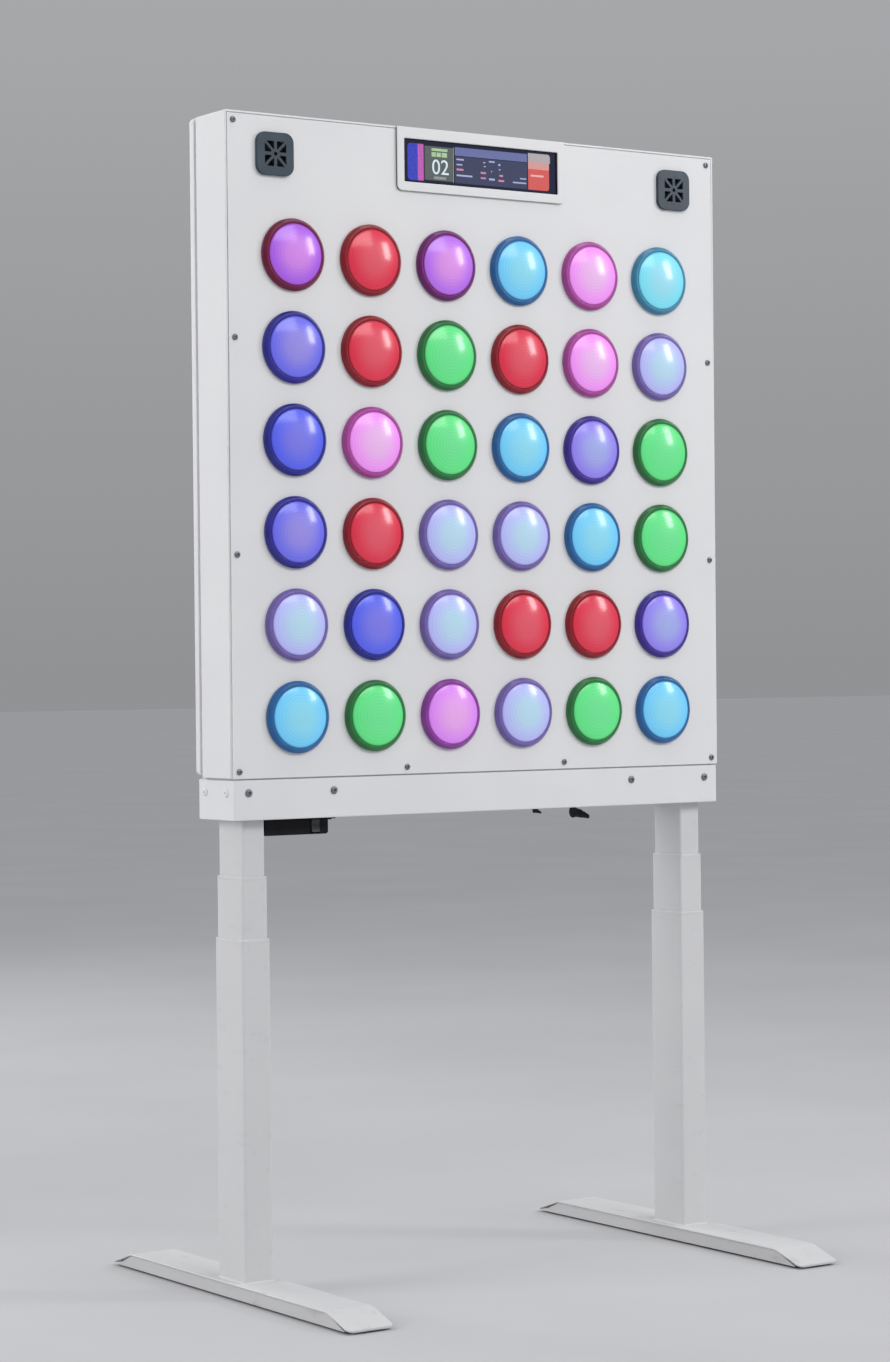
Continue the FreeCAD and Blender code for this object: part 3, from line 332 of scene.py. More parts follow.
black_plastic, black_tree, black_shader = new_finish("black_moulded_plastic", (0.006, 0.006, 0.008), 0.5)
varied(black_tree, black_shader, "Roughness", 60.0, [(0.3, 0.50), (0.7, 0.64)], detail=5.0)
black_shader.inputs["Specular IOR Level"].default_value = 0.2
embossed(black_tree, black_shader, mottle(black_tree, 1600.0, 3.0), 0.25, 0.0002)
glide_radius = glides_high[0] - COLUMN_X
GLIDE_PROFILE = [(glide_radius - 0.001, 0.0), (glide_radius, 0.0006), (glide_radius, 0.0022),
                 (glide_radius - 0.0008, FOOT_GAP), (0.004, FOOT_GAP), (0.004, glides_high[2])]
glides = []
for mount in frame["record"]["mounts"]:
    knurled = turned(GLIDE_PROFILE, GLIDE_STEPS, mount["pos_m"], "z")
    knurled[1:3, ::2, :2] = mount["pos_m"][:2] + (knurled[1:3, ::2, :2] - mount["pos_m"][:2]) * 0.97
    glides.append(skin(knurled))
make_piece("glides", glides, black_plastic, "base", ["foot_glides"])

# ------------------------------------------------------------------ telescopic columns
# Three rectangular steel tubes slide in each other in each column, all powder coated, their corners rounded
# in rolling. The outer one stands on the strap on a fillet weld.
TUBE_WALL, TUBE_CORNER = 0.0015, 0.0038


def rounded_loop(low, high, radii, steps=6):
    """Outline of a rectangle whose corners are quarter circles: corner centre + radius (cos t, sin t), with
    t from each corner's start to its end. Four radii go round from the low-low corner, anticlockwise."""
    low, high = np.asarray(low, float), np.asarray(high, float)
    radii = np.broadcast_to(np.asarray(radii, float), (4,))
    which = np.array([(0, 0), (1, 0), (1, 1), (0, 1)])
    corners = np.where(which == 1, high, low)
    centres = corners - (2 * which - 1) * radii[:, None]
    t = np.radians(np.array([180, 270, 0, 90]))[:, None] + np.linspace(0.0, math.pi / 2, steps)[None]
    circle = np.stack([np.cos(t), np.sin(t)], axis=2)
    return (centres[:, None] + radii[:, None, None] * circle).reshape(-1, 2)


def carried(low, high, radii, stations, axis, ring=True, steps=6):
    """Grid of points of a wall whose cross-section, a list of (inset, distance along the axis), is carried
    round a rounded rectangle. Each inset moves the outline in and shrinks its corner radii as much, though
    not below 0.2 mm."""
    low, high = np.asarray(low, float), np.asarray(high, float)
    radii = np.broadcast_to(np.asarray(radii, float), (4,))
    loops = np.stack([rounded_loop(low + inset, high - inset, np.maximum(radii - inset, 0.0002), steps)
                      for inset, _ in stations])
    along = np.broadcast_to(np.array([place for _, place in stations])[:, None], loops.shape[:2])
    first, second = loops[:, :, 0], loops[:, :, 1]
    order = {"z": (first, second, along), "y": (first, along, second), "x": (along, first, second)}[axis]
    return np.stack(order, axis=2)


def tube_skins(node, wall):
    """Two tubes standing on the column lines within a node's box, with lightly deburred ends."""
    low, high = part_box(node)
    half_x, half_y = high[0] - COLUMN_X, high[1]
    stations = [(0.0003, low[2]), (0.0, low[2] + 0.0003), (0.0, high[2] - 0.0003), (0.0003, high[2]),
                (wall, high[2]), (wall, low[2])]
    return [skin(carried((x - half_x, -half_y), (x + half_x, half_y), TUBE_CORNER, stations, "z"), ring=True)
            for x in (-COLUMN_X, COLUMN_X)]


outer_low, outer_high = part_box("outer_tubes")
tube_coat = powder_coat("tube_powder_coat", 0.66, scuffs=0.12)
WELD_LEG, WELD_STEPS = 0.0024, 40
welds = []
for x in (-COLUMN_X, COLUMN_X):
    half_x, half_y = outer_high[0] - COLUMN_X, outer_high[1]
    bead = carried((x - half_x, -half_y), (x + half_x, half_y), TUBE_CORNER,
                   [(0.0006, outer_low[2] - 0.0005), (-WELD_LEG, outer_low[2] - 0.0005),
                    (-WELD_LEG * 0.55, outer_low[2] + WELD_LEG * 0.55), (0.0006, outer_low[2] + WELD_LEG)],
                   "z", steps=WELD_STEPS)
    ripple = 1 + 0.18 * np.sin(np.arange(bead.shape[1]) * 2.1)
    bead[2, :, 2] = outer_low[2] + (bead[2, :, 2] - outer_low[2]) * ripple
    welds.append(skin(bead, ring=True))
make_piece("outer_tubes_welded", tube_skins("outer_tubes", TUBE_WALL) + welds, tube_coat, "base",
           ["outer_tubes"])
make_piece("middle_tube_pair", tube_skins("middle_tubes", TUBE_WALL), tube_coat, "mid_stage",
           ["middle_tubes"])
make_piece("inner_tube_pair", tube_skins("inner_tubes", TUBE_WALL), tube_coat, "head", ["inner_tubes"])

# ------------------------------------------------------------------ guide bushes
# A pale moulded bush is pressed into the mouth of each outer and middle tube, and its lip, 5 mm high with a
# soft edge, covers the cut end of the tube.
BUSH_LIP, BUSH_PLAY = 0.005, 0.0001
bush_plastic, bush_tree, bush_shader = new_finish("bush_plastic", (0.62, 0.62, 0.63), 0.5)
varied(bush_tree, bush_shader, "Base Color", 25.0, [(0.3, (0.60, 0.60, 0.61)), (0.7, (0.66, 0.66, 0.67))])
embossed(bush_tree, bush_shader, mottle(bush_tree, 1800.0, 2.0), 0.15, 0.0002)


def bush_skins(node, slider):
    """Lip and sleeve round the tube that slides in the bush."""
    low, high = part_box(node)
    slider_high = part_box(slider)[1]
    half_x, half_y = high[0] - COLUMN_X, high[1]
    bore = half_x - (slider_high[0] - COLUMN_X) - BUSH_PLAY
    top, lip = high[2], high[2] - BUSH_LIP
    stations = [(0.0, lip), (0.0, top - 0.0012), (0.0004, top - 0.0004), (0.0012, top), (bore - 0.0004, top),
                (bore, top - 0.0004), (bore, low[2]), (TUBE_WALL, low[2]), (TUBE_WALL, lip)]
    return [skin(carried((x - half_x, -half_y), (x + half_x, half_y), TUBE_CORNER, stations, "z"), ring=True)
            for x in (-COLUMN_X, COLUMN_X)]


make_piece("outer_bush_pair", bush_skins("outer_bushes", "middle_tubes"), bush_plastic, "base",
           ["outer_bushes"])
make_piece("middle_bush_pair", bush_skins("middle_bushes", "inner_tubes"), bush_plastic, "mid_stage",
           ["middle_bushes"])

# ------------------------------------------------------------------ skirt band
# A folded 3 mm sheet-steel tray open at the top covers the frame that joins the two columns.
# Its lower edges are rolled over the bend radius and its cut top edge shows bright under the seam.
BAND_WALL, BAND_BEND, CUT_EASE, BURR = 0.003, 0.0022, 0.0006, 0.0003
band_low, band_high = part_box("skirt_band")
inner_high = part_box("inner_tubes")[1]
case_coat = powder_coat("case_powder_coat", 0.78)
MOUTH_GAP = 0.002
band_walls = carried(band_low[:2], band_high[:2], BAND_BEND,
                     [(BAND_BEND, band_low[2]), (0.0007, band_low[2] + CUT_EASE),
                      (0.0, band_low[2] + BAND_BEND), (0.0, band_high[2] - CUT_EASE), (CUT_EASE, band_high[2]),
                      (BAND_WALL - BURR, band_high[2]), (BAND_WALL, band_high[2] - BURR),
                      (BAND_WALL, band_low[2] + BAND_WALL), (BAND_BEND, band_low[2] + BAND_WALL)], "z")


def pierced_plate(outline, openings, thick, axis, place):
    """Flat plate with openings, cut from a filled flat curve and set square to an axis with its low face at
    place. Outline and openings are closed loops of points in the plate's own plane."""
    shape = bpy.data.curves.new("pierced", "CURVE")
    shape.dimensions = "2D"
    shape.fill_mode = "BOTH"
    shape.extrude = thick / 2
    for loop in [outline, *openings]:
        spline = shape.splines.new("POLY")
        spline.points.add(len(loop) - 1)
        flat = np.zeros((len(loop), 4))
        flat[:, :2] = loop
        flat[:, 3] = 1.0
        spline.points.foreach_set("co", flat.ravel())
        spline.use_cyclic_u = True
    holder = bpy.data.objects.new("pierced", shape)
    bpy.context.scene.collection.objects.link(holder)
    bpy.context.view_layer.update()
    mesh = bpy.data.meshes.new_from_object(holder.evaluated_get(bpy.context.evaluated_depsgraph_get()))
    flat = np.empty(len(mesh.vertices) * 3)
    mesh.vertices.foreach_get("co", flat)
    flat = flat.reshape(-1, 3)
    first, second, along = flat[:, 0], flat[:, 1], flat[:, 2] + thick / 2 + place
    points = np.stack({"z": (first, second, along), "y": (first, along, second)}[axis], axis=1)
    faces = [list(polygon.vertices) for polygon in mesh.polygons]
    if axis == "y":
        faces = [face[::-1] for face in faces]
    bpy.data.objects.remove(holder)
    bpy.data.curves.remove(shape)
    return merged(points, faces)


def merged(points, faces):
    """The same skin with coincident points made one, so that its edges are closed."""
    _, first, number = np.unique(np.round(points * 1e6).astype(np.int64), axis=0, return_index=True,
                                 return_inverse=True)
    number = number.ravel()
    kept = [[int(number[corner]) for corner in face] for face in faces]
    kept = [[corner for step, corner in enumerate(face) if corner != face[step - 1]] for face in kept]
    return points[first], [face for face in kept if len(face) > 2]


mouth_x, mouth_y = inner_high[0] - COLUMN_X + MOUTH_GAP, inner_high[1] + MOUTH_GAP
band_floor = pierced_plate(
    rounded_loop(np.array(band_low[:2]) + BAND_BEND, np.array(band_high[:2]) - BAND_BEND, 0.0005),
    [rounded_loop((x - mouth_x, -mouth_y), (x + mouth_x, mouth_y), 0.004) for x in (-COLUMN_X, COLUMN_X)],
    BAND_WALL, "z", band_low[2])
make_piece("skirt_band_folded", [skin(band_walls, ring=True), band_floor], case_coat, "head", ["skirt_band"])

# ------------------------------------------------------------------ case shell
# A welded sheet-steel frame, 3 mm thick, with a return flange at front and back for the panel and the
# cover. The front panel sits inside its top and sides, flush with its edge, and stands on its floor.
SHEET, FLANGE_WIDTH, FLANGE_SHEET, PANEL_SHEET, CASE_CORNER = 0.003, 0.020, 0.002, 0.003, 0.0025
case_low, case_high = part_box("case_shell")
front, case_rear = case_low[1], case_high[1]
panel_back = front + PANEL_SHEET
lip = SHEET + FLANGE_WIDTH
case_wall = carried(
    (case_low[0], case_low[2]), (case_high[0], case_high[2]), CASE_CORNER,
    [(0.0007, front), (0.0002, front + 0.0002), (0.0, front + 0.0007), (0.0, case_rear - 0.0012),
     (0.0012, case_rear), (lip, case_rear), (lip, case_rear - 2 * FLANGE_SHEET),
     (SHEET, case_rear - 2 * FLANGE_SHEET), (SHEET, panel_back + FLANGE_SHEET),
     (lip, panel_back + FLANGE_SHEET), (lip, panel_back), (SHEET, panel_back), (SHEET, front + BURR),
     (SHEET - BURR, front)], "y")
along_floor = case_wall[:, :, 2] < case_low[2] + SHEET + 0.0005
case_wall[:, :, 1] = np.where(along_floor, np.maximum(case_wall[:, :, 1], panel_back), case_wall[:, :, 1])
make_piece("case_shell_welded", [skin(case_wall, ring=True)], case_coat, "head", ["case_shell"])

# ------------------------------------------------------------------ rear cover
# A pressed 2 mm sheet-steel tray with a 6 mm rolled rear edge closes the back. It stands off the case on an
# inset step, so a dark groove runs round the sides and the top, and its back has two banks of vent slots.
REAR_GAP, REAR_WALL, REAR_EDGE, REAR_STEP = 0.006, 0.002, 0.006, 0.004
VENT_LENGTH, VENT_SLOT, VENT_PITCH, VENT_DROP, VENT_ROWS = 0.090, 0.006, 0.016, 0.301, 7
cover_low, cover_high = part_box("rear_cover")
cover_front, cover_back = case_rear + REAR_GAP, cover_high[1]
quarter = np.linspace(0.0, math.pi / 2, 7)
rolled = [(REAR_EDGE * (1 - math.cos(t)), cover_back - REAR_EDGE * (1 - math.sin(t))) for t in quarter]
rolled_inside = [(REAR_WALL + (REAR_EDGE - REAR_WALL) * (1 - math.cos(t)),
                  cover_back - REAR_EDGE + (REAR_EDGE - REAR_WALL) * math.sin(t)) for t in quarter[::-1]]
cover_edge = carried(
    (cover_low[0], cover_low[2]), (cover_high[0], cover_high[2]), 0.007,
    [(REAR_STEP, cover_low[1]), (REAR_STEP, cover_front), (0.0006, cover_front), (0.0, cover_front + 0.0006),
     *rolled, *rolled_inside, (REAR_STEP + REAR_WALL, cover_front + REAR_WALL),
     (REAR_STEP + REAR_WALL, cover_low[1])], "y")
circle_angles = np.linspace(0.0, 2 * math.pi, 24, endpoint=False)
circle = np.stack([np.cos(circle_angles), np.sin(circle_angles)], axis=1)
half_bank = np.array([VENT_LENGTH / 2, VENT_SLOT / 2])
vent_centres = [(side * cover_high[0] / 2, cover_high[2] - VENT_DROP + VENT_SLOT / 2 + VENT_PITCH * row)
                for side in (-1, 1) for row in range(VENT_ROWS)]
JACK_RADIUS, JACK_RISE = 0.0062, 0.210
cover_plate = pierced_plate(
    rounded_loop((cover_low[0] + REAR_EDGE, cover_low[2] + REAR_EDGE),
                 (cover_high[0] - REAR_EDGE, cover_high[2] - REAR_EDGE), 0.001),
    [rounded_loop(np.array(centre) - half_bank, np.array(centre) + half_bank, 0.0029)
     for centre in vent_centres] + [circle * JACK_RADIUS + (0.0, cover_low[2] + JACK_RISE)],
    REAR_WALL, "y", cover_back - REAR_WALL)
make_piece("rear_cover_pressed", [skin(cover_edge, ring=True), cover_plate], case_coat, "head",
           ["rear_cover"])

# ------------------------------------------------------------------ front panel
# A flat 3 mm steel sheet, laser cut for the button barrels, speakers and display, and powder coated white.
# The panel and the frame inside the band are the modelled parts themselves, given their finish.


def give_finish(node, finish):
    """Finish for a modelled part that stays as it is."""
    for place in frame["nodes"][node].material_slots:
        place.material = finish


give_finish("front_panel", case_coat)
give_finish("column_frame", frame_coat)

# ------------------------------------------------------------------ lift drives
# A tubular motor hangs from a cap in each inner tube and turns a spindle, all out of sight inside the
# columns.
drive_steel, drive_tree, drive_shader = new_finish("drive_steel", (0.45, 0.46, 0.48), 0.35, metallic=1.0)
varied(drive_tree, drive_shader, "Roughness", 200.0, [(0.3, 0.28), (0.7, 0.45)], stretch=(1.0, 1.0, 12.0))
give_finish("lift_drives", drive_steel)

# ------------------------------------------------------------------ display
# A flat white surround with rounded lower corners stands 4 mm proud of the panel, round a bar-shaped screen.
# Below its thin plate a near-black band, drawn as a rubber gasket, fills its side wall all round: painted
# shade for the shadow along that wall. The screen is dark glass with a lit page of generic bars, dashes and a
# number behind it.
SCREEN_WIDE, SCREEN_TALL, SCREEN_FOOT, DISPLAY_CORNER = 0.2935, 0.0673, 0.014, 0.009
bezel_low, bezel_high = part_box("display_bezel")
module_low, module_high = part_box("display_module")
screen_low = np.array([-SCREEN_WIDE / 2, bezel_low[2] + SCREEN_FOOT])
screen_high = screen_low + (SCREEN_WIDE, SCREEN_TALL)
outer_loops = [rounded_loop((bezel_low[0] + inset, bezel_low[2] + inset),
                            (bezel_high[0] - inset, bezel_high[2] - inset),
                            (DISPLAY_CORNER - inset, DISPLAY_CORNER - inset, 0.001, 0.001), 10)
               for inset in (0.0, 0.0, 0.0003, 0.0010)]
inner_loops = [rounded_loop(screen_low - grow, screen_high + grow, 0.0015 + grow, 10)
               for grow in (0.0008, 0.0, 0.0)]
bezel_front = bezel_low[1]
PLATE_THICK = 0.0016
surround = np.zeros((7, 40, 3))
surround[:, :, [0, 2]] = np.stack(outer_loops + inner_loops)
surround_depth = np.array([PLATE_THICK, 0.0008, 0.0003, 0.0, 0.0, 0.0008, PLATE_THICK])
surround[:, :, 1] = bezel_front + surround_depth[:, None]
make_piece("display_surround", [skin(surround, ring=True)], case_coat, "head", ["display_bezel"])
# Near-black band under the surround's plate, drawn as a rubber gasket: painted shade for the shadow along the
# surround's side wall.
painted_shade_band, shade_band_tree, shade_band_shader = new_finish("painted_shade_band", (0.020, 0.020, 0.026), 0.75)
embossed(shade_band_tree, shade_band_shader, mottle(shade_band_tree, 1200.0, 4.0), 0.3, 0.0003)
shade_band = np.stack([outer_loops[2], outer_loops[2], inner_loops[0], inner_loops[0]])
shade_band_top = bezel_front + PLATE_THICK
shade_band_depth = np.broadcast_to(np.array([front, shade_band_top, shade_band_top, front])[:, None], shade_band.shape[:2])
shade_band = np.stack([shade_band[:, :, 0], shade_band_depth, shade_band[:, :, 1]], axis=2)
make_piece("display_painted_shade_band", [skin(shade_band, ring=True)], painted_shade_band, "head", ["display_bezel"])

screen_glass, glass_tree, glass_shader = new_finish("screen_glass", (0.010, 0.014, 0.040), 0.08)
varied(glass_tree, glass_shader, "Roughness", 12.0, [(0.3, 0.06), (0.7, 0.12)])
module = carried((module_low[0], module_low[2]), (module_high[0], module_high[2]), 0.001,
                 [(0.0003, module_high[1]), (0.0, module_high[1] - 0.0003), (0.0, module_low[1] + 0.0003),
                  (0.0003, module_low[1])], "y", ring=False)
make_piece("screen_module", [skin(module)], screen_glass, "head", ["display_module"])


def lit(name, colour, glow, speckle=0.0):
    """Lit part of the screen's page under glass: the colour glows and varies a little from dot to dot."""
    finish, tree, shader = new_finish(name, tuple(channel * 0.25 for channel in colour), 0.12)
    dim = tuple(channel * (1 - speckle) for channel in colour)
    varied(tree, shader, "Emission Color", 420.0, [(0.38, dim), (0.62, colour)], detail=1.0)
    shader.inputs["Emission Strength"].default_value = glow
    shader.inputs["Coat Weight"].default_value = 0.6
    return finish


PAGE_PROUD = 0.00018


def page_bars(name, bars, finish, corner=0.0004, layer=1):
    """Thin raised bars of the screen's page: each is (left, foot, right, head) in millimetres from the
    screen's lower left corner, with rounded corners."""
    place = front - PAGE_PROUD * layer
    skins = []
    for left, foot, right, head in bars:
        low = screen_low + np.array([left, foot]) / 1000
        high = screen_low + np.array([right, head]) / 1000
        radii = corner if np.ndim(corner) else min(corner, (right - left) / 2200, (head - foot) / 2200)
        skins.append(skin(carried(low, high, radii, [(0.0, front + 0.0001), (0.0, place)], "y", ring=False,
                                  steps=5)))
    make_piece(name, skins, finish, "head", [], weighted=False)


page_bars("page_blue_bar", [(8, 4, 27, 61)], lit("page_blue", paint(62, 72, 205), 0.75, 0.45),
          corner=(0.006, 0.0002, 0.0002, 0.006))
page_bars("page_pink_bar", [(27, 4, 38, 61)], lit("page_pink", paint(205, 98, 190), 0.75, 0.3))
page_bars("page_olive_block", [(40, 6, 95, 59)], lit("page_olive", paint(92, 100, 98), 0.75, 0.15))
page_bars("page_label_rows",
          [(53, 52.0, 83, 56.0), (53, 43.0, 61, 50.0), (62.5, 43.0, 70.5, 50.0), (72, 43.0, 82, 50.0)],
          lit("page_pale_green", paint(172, 205, 160), 0.85, 0.25), layer=2)
page_bars("page_olive_rule", [(93.6, 5, 94.6, 60)], lit("page_rule", paint(150, 155, 130), 0.8), layer=2)
page_bars("page_table", [(97, 5, 236, 47)], lit("page_table_blue", paint(62, 66, 98), 0.75, 0.2))
page_bars("page_header", [(97, 48, 236, 61)], lit("page_periwinkle", paint(108, 116, 168), 0.75, 0.12))
page_bars("page_pale_dashes",
          [(100, 41, 114, 43.4), (100, 33, 111, 35.2), (100, 16, 130, 18.6), (162, 42, 173, 44.4),
           (151, 40, 155, 41.8), (152, 34, 156, 35.6), (180, 38, 184, 41), (162, 14, 173, 17),
           (181, 31, 184, 33), (208, 13, 234, 15.2), (222, 20, 234, 22), (166, 27, 168, 29)],
          lit("page_pale", paint(160, 170, 205), 0.9), layer=2)
page_bars("page_rose_dashes",
          [(100, 25, 113, 28), (146, 23, 156, 26), (146, 15, 156, 17.6), (182, 21, 189, 24),
           (180, 13, 191, 16)],
          lit("page_rose", paint(190, 130, 160), 0.9), layer=2)
page_bars("page_grey_block", [(238, 49, 281, 63)], lit("page_grey", paint(186, 178, 182), 0.7, 0.1),
          corner=(0.0002, 0.0002, 0.005, 0.0002))
page_bars("page_salmon_block", [(238, 38, 279, 49)], lit("page_salmon", paint(222, 158, 152), 0.75, 0.1))
page_bars("page_red_block", [(238, 5, 279, 38)], lit("page_red", paint(214, 92, 90), 0.8, 0.12),
          corner=(0.0002, 0.005, 0.0002, 0.0002))
page_bars("page_red_label", [(243, 26, 268, 29)], lit("page_red_pale", paint(232, 178, 172), 0.8), layer=2)


def page_text(name, text, size, place, finish):
    """Generic figures on the screen's page, drawn by a plain outline font and made a mesh in place."""
    letters = bpy.data.curves.new(name, "FONT")
    letters.body = text
    letters.size = size
    letters.extrude = PAGE_PROUD
    holder = bpy.data.objects.new(name, letters)
    bpy.context.scene.collection.objects.link(holder)
    bpy.context.view_layer.update()
    mesh = bpy.data.meshes.new_from_object(holder.evaluated_get(bpy.context.evaluated_depsgraph_get()))
    flat = np.empty(len(mesh.vertices) * 3)
    mesh.vertices.foreach_get("co", flat)
    flat = flat.reshape(-1, 3)
    corner = screen_low + np.array(place) / 1000
    points = np.stack([corner[0] + flat[:, 0], front - 2 * PAGE_PROUD - flat[:, 2], corner[1] + flat[:, 1]],
                      axis=1)
    faces = [list(polygon.vertices) for polygon in mesh.polygons]
    bpy.data.objects.remove(holder)
    bpy.data.curves.remove(letters)
    make_piece(name, [merged(points, faces)], finish, "head", [], weighted=False)


page_figures = lit("page_figures", paint(206, 222, 232), 0.95, 0.1)
page_text("page_number", "02", 0.033, (53.0, 16.0), page_figures)
page_bars("page_number_label", [(57, 8.2, 80, 12.4)],
          lit("page_label_grey", paint(150, 158, 158), 0.8, 0.3), layer=2)

# ------------------------------------------------------------------ speakers
# A slate-coloured moulded grille with rounded corners is stuck over each speaker: eight wedge openings
# between straight and diagonal spokes, and a small hole in the hub. The paper cone shows dark behind it.
GRILLE_CORNER, GRILLE_SQUARE, SPOKE, DIAGONAL, HUB_HOLE, HUB = 0.015, 0.019, 0.0025, 0.0021, 0.003, 0.0078
grille_low, grille_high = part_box("speaker_grilles")
grille_half = (grille_high[2] - grille_low[2]) / 2
speaker_x, speaker_z = grille_high[0] - grille_half, grille_low[2] + grille_half
grille_plastic, grille_tree, grille_shader = new_finish("grille_plastic", paint(50, 62, 74), 0.42)
varied(grille_tree, grille_shader, "Base Color", 40.0, [(0.3, paint(52, 63, 75)), (0.7, paint(60, 73, 85))])
grille_shader.inputs["Specular IOR Level"].default_value = 0.35
embossed(grille_tree, grille_shader, mottle(grille_tree, 1500.0, 2.0), 0.2, 0.0002)


def wedge(turn, flip):
    """One opening: a wedge between a straight spoke and a diagonal one, from the hub out to the square's
    edge, with its corners eased, turned by quarter turns and mirrored across the straight spoke."""
    slant = DIAGONAL * math.sqrt(2)
    hub_angles = np.linspace(math.asin(SPOKE / HUB), math.pi / 4 - math.asin(DIAGONAL / HUB), 5)
    inner = np.stack([HUB * np.sin(hub_angles), HUB * np.cos(hub_angles)], axis=1)
    far = GRILLE_SQUARE
    ease = 0.0012
    outer = np.array([(far - slant - ease * 1.4, far - ease * 1.4),
                      (far - slant - ease * 0.4, far - ease * 0.2), (far - slant - ease * 1.2, far),
                      (SPOKE + ease, far), (SPOKE + ease * 0.3, far - ease * 0.3), (SPOKE, far - ease)])
    loop = np.concatenate([inner, outer])
    loop[:, 0] *= flip
    cos_turn, sin_turn = math.cos(turn * math.pi / 2), math.sin(turn * math.pi / 2)
    return loop @ np.array([(cos_turn, sin_turn), (-sin_turn, cos_turn)])


GRILLE_EDGE = 0.0008
grilles = []
for x in (-speaker_x, speaker_x):
    centre = np.array([x, speaker_z])
    openings = [wedge(turn, flip) + centre for turn in range(4) for flip in (-1, 1)]
    plate = pierced_plate(rounded_loop(centre - grille_half + GRILLE_EDGE, centre + grille_half - GRILLE_EDGE,
                                       GRILLE_CORNER - GRILLE_EDGE, 12),
                          openings + [circle * HUB_HOLE + centre], grille_high[1] - grille_low[1], "y",
                          grille_low[1])
    edge = carried(centre - grille_half, centre + grille_half, GRILLE_CORNER,
                   [(GRILLE_EDGE, grille_high[1]), (0.0, grille_high[1]), (0.0, grille_low[1] + GRILLE_EDGE),
                    (GRILLE_EDGE * 0.3, grille_low[1] + GRILLE_EDGE * 0.3), (GRILLE_EDGE, grille_low[1])],
                   "y", steps=12)
    grilles += [plate, skin(edge, ring=True)]
make_piece("speaker_grille_pair", grilles, grille_plastic, "head", ["speaker_grilles"])

cone_paper, cone_tree, cone_shader = new_finish("cone_paper", (0.012, 0.012, 0.013), 0.8)
embossed(cone_tree, cone_shader, mottle(cone_tree, 700.0, 6.0), 0.5, 0.0004)
give_finish("speaker_drivers", cone_paper)

# ------------------------------------------------------------------ button bezels
# A moulded translucent ring in a deeper shade of each button's colour, glossy, held by a nut behind the
# panel. Its lip rolls outwards. A painted glow, strongest just outside its inner edge and fainter down its
# outer wall, stands in for light from the lens shining through it, and lights the panel round it a little.
dome_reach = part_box("button_r1_c1")
DOME_RADIUS = (dome_reach[1][0] - dome_reach[0][0]) / 2
BEZEL_OUTER, BEZEL_LIP, BEZEL_BORE, BARREL, BARREL_BORE = 0.055, 0.0515, 0.0472, 0.012, 0.008
BEZEL_RIM, BEZEL_SHOULDER, DISH_FLOOR, BARREL_LENGTH, BUTTON_STEPS = 0.009, 0.005, 0.0025, 0.032, 96
COLOURS = {
    "orchid": ("lens_violet", (222, 146, 241), (166, 94, 224), (118, 10, 52)),
    "violet": ("lens_violet", (232, 158, 240), (180, 110, 230), (116, 24, 112)),
    "red": ("lens_red", (232, 96, 112), (214, 50, 74), (150, 26, 40)),
    "sky": ("lens_sky", (150, 226, 247), (112, 200, 242), (40, 104, 168)),
    "cyan": ("lens_sky", (166, 230, 248), (124, 218, 236), (62, 140, 178)),
    "pink": ("lens_pink", (244, 196, 245), (236, 148, 240), (180, 74, 164)),
    "magenta": ("lens_pink", (242, 178, 244), (216, 136, 238), (146, 62, 164)),
    "periwinkle": ("lens_indigo", (160, 150, 235), (108, 108, 228), (48, 44, 152)),
    "indigo": ("lens_indigo", (132, 130, 238), (86, 98, 230), (42, 44, 150)),
    "dusk": ("lens_indigo", (170, 182, 240), (144, 130, 232), (62, 42, 152)),
    "green": ("lens_green", (118, 236, 156), (96, 222, 132), (44, 120, 64)),
    "lilac": ("lens_lilac", (190, 228, 245), (178, 184, 240), (124, 104, 182)),
}
BUTTON_ROWS = [
    ("orchid", "red", "violet", "sky", "pink", "cyan"),
    ("periwinkle", "red", "green", "red", "pink", "lilac"),
    ("indigo", "pink", "green", "sky", "dusk", "green"),
    ("periwinkle", "red", "lilac", "lilac", "sky", "green"),
    ("lilac", "indigo", "lilac", "red", "red", "dusk"),
    ("sky", "green", "magenta", "lilac", "green", "sky"),
]


def arc(centre, radius, start, end, steps):
    """Points on an arc in a turned profile: centre + radius (cos t, sin t), with t in degrees."""
    return [(centre[0] + radius * math.cos(t), centre[1] + radius * math.sin(t))
            for t in np.radians(np.linspace(start, end, steps))]


def bezel_finish(colour):
    """Glossy translucent plastic with a painted glow: emission, brightest just outside the lip and weaker out
    towards the outer wall, stands in for light from the lens shining through the ring."""
    ring = paint(*COLOURS[colour][3])
    lens = paint(*COLOURS[colour][2])
    finish, tree, shader = new_finish("bezel_" + colour, ring, 0.28)
    place = tree.nodes.new("ShaderNodeUVMap")
    place.uv_map = "profile"
    split = tree.nodes.new("ShaderNodeSeparateXYZ")
    tree.links.new(place.outputs["UV"], split.inputs["Vector"])
    # Painted glow: emission along the profile, brightest just outside the lip, standing in for the lens's
    # light shining through the ring.
    glow = graded(tree, split.outputs["X"], [(0.0, tuple(0.25 * part for part in lens)),
                                             (0.3, tuple(0.60 * a + 0.04 * b for a, b in zip(ring, lens))),
                                             (0.7, tuple(0.35 * part for part in ring)),
                                             (1.0, tuple(0.30 * a + 0.02 * b for a, b in zip(ring, lens)))])
    dark, light = (tuple(share * part for part in ring) for share in (0.45, 0.62))
    varied(tree, shader, "Base Color", 60.0, [(0.3, dark), (0.7, light)], detail=3.0)
    tree.links.new(glow, shader.inputs["Emission Color"])
    shader.inputs["Emission Strength"].default_value = 0.5
    shader.inputs["Specular IOR Level"].default_value = 0.3
    shader.inputs["Coat Weight"].default_value = 0.25
    shader.inputs["Coat Roughness"].default_value = 0.12
    return finish


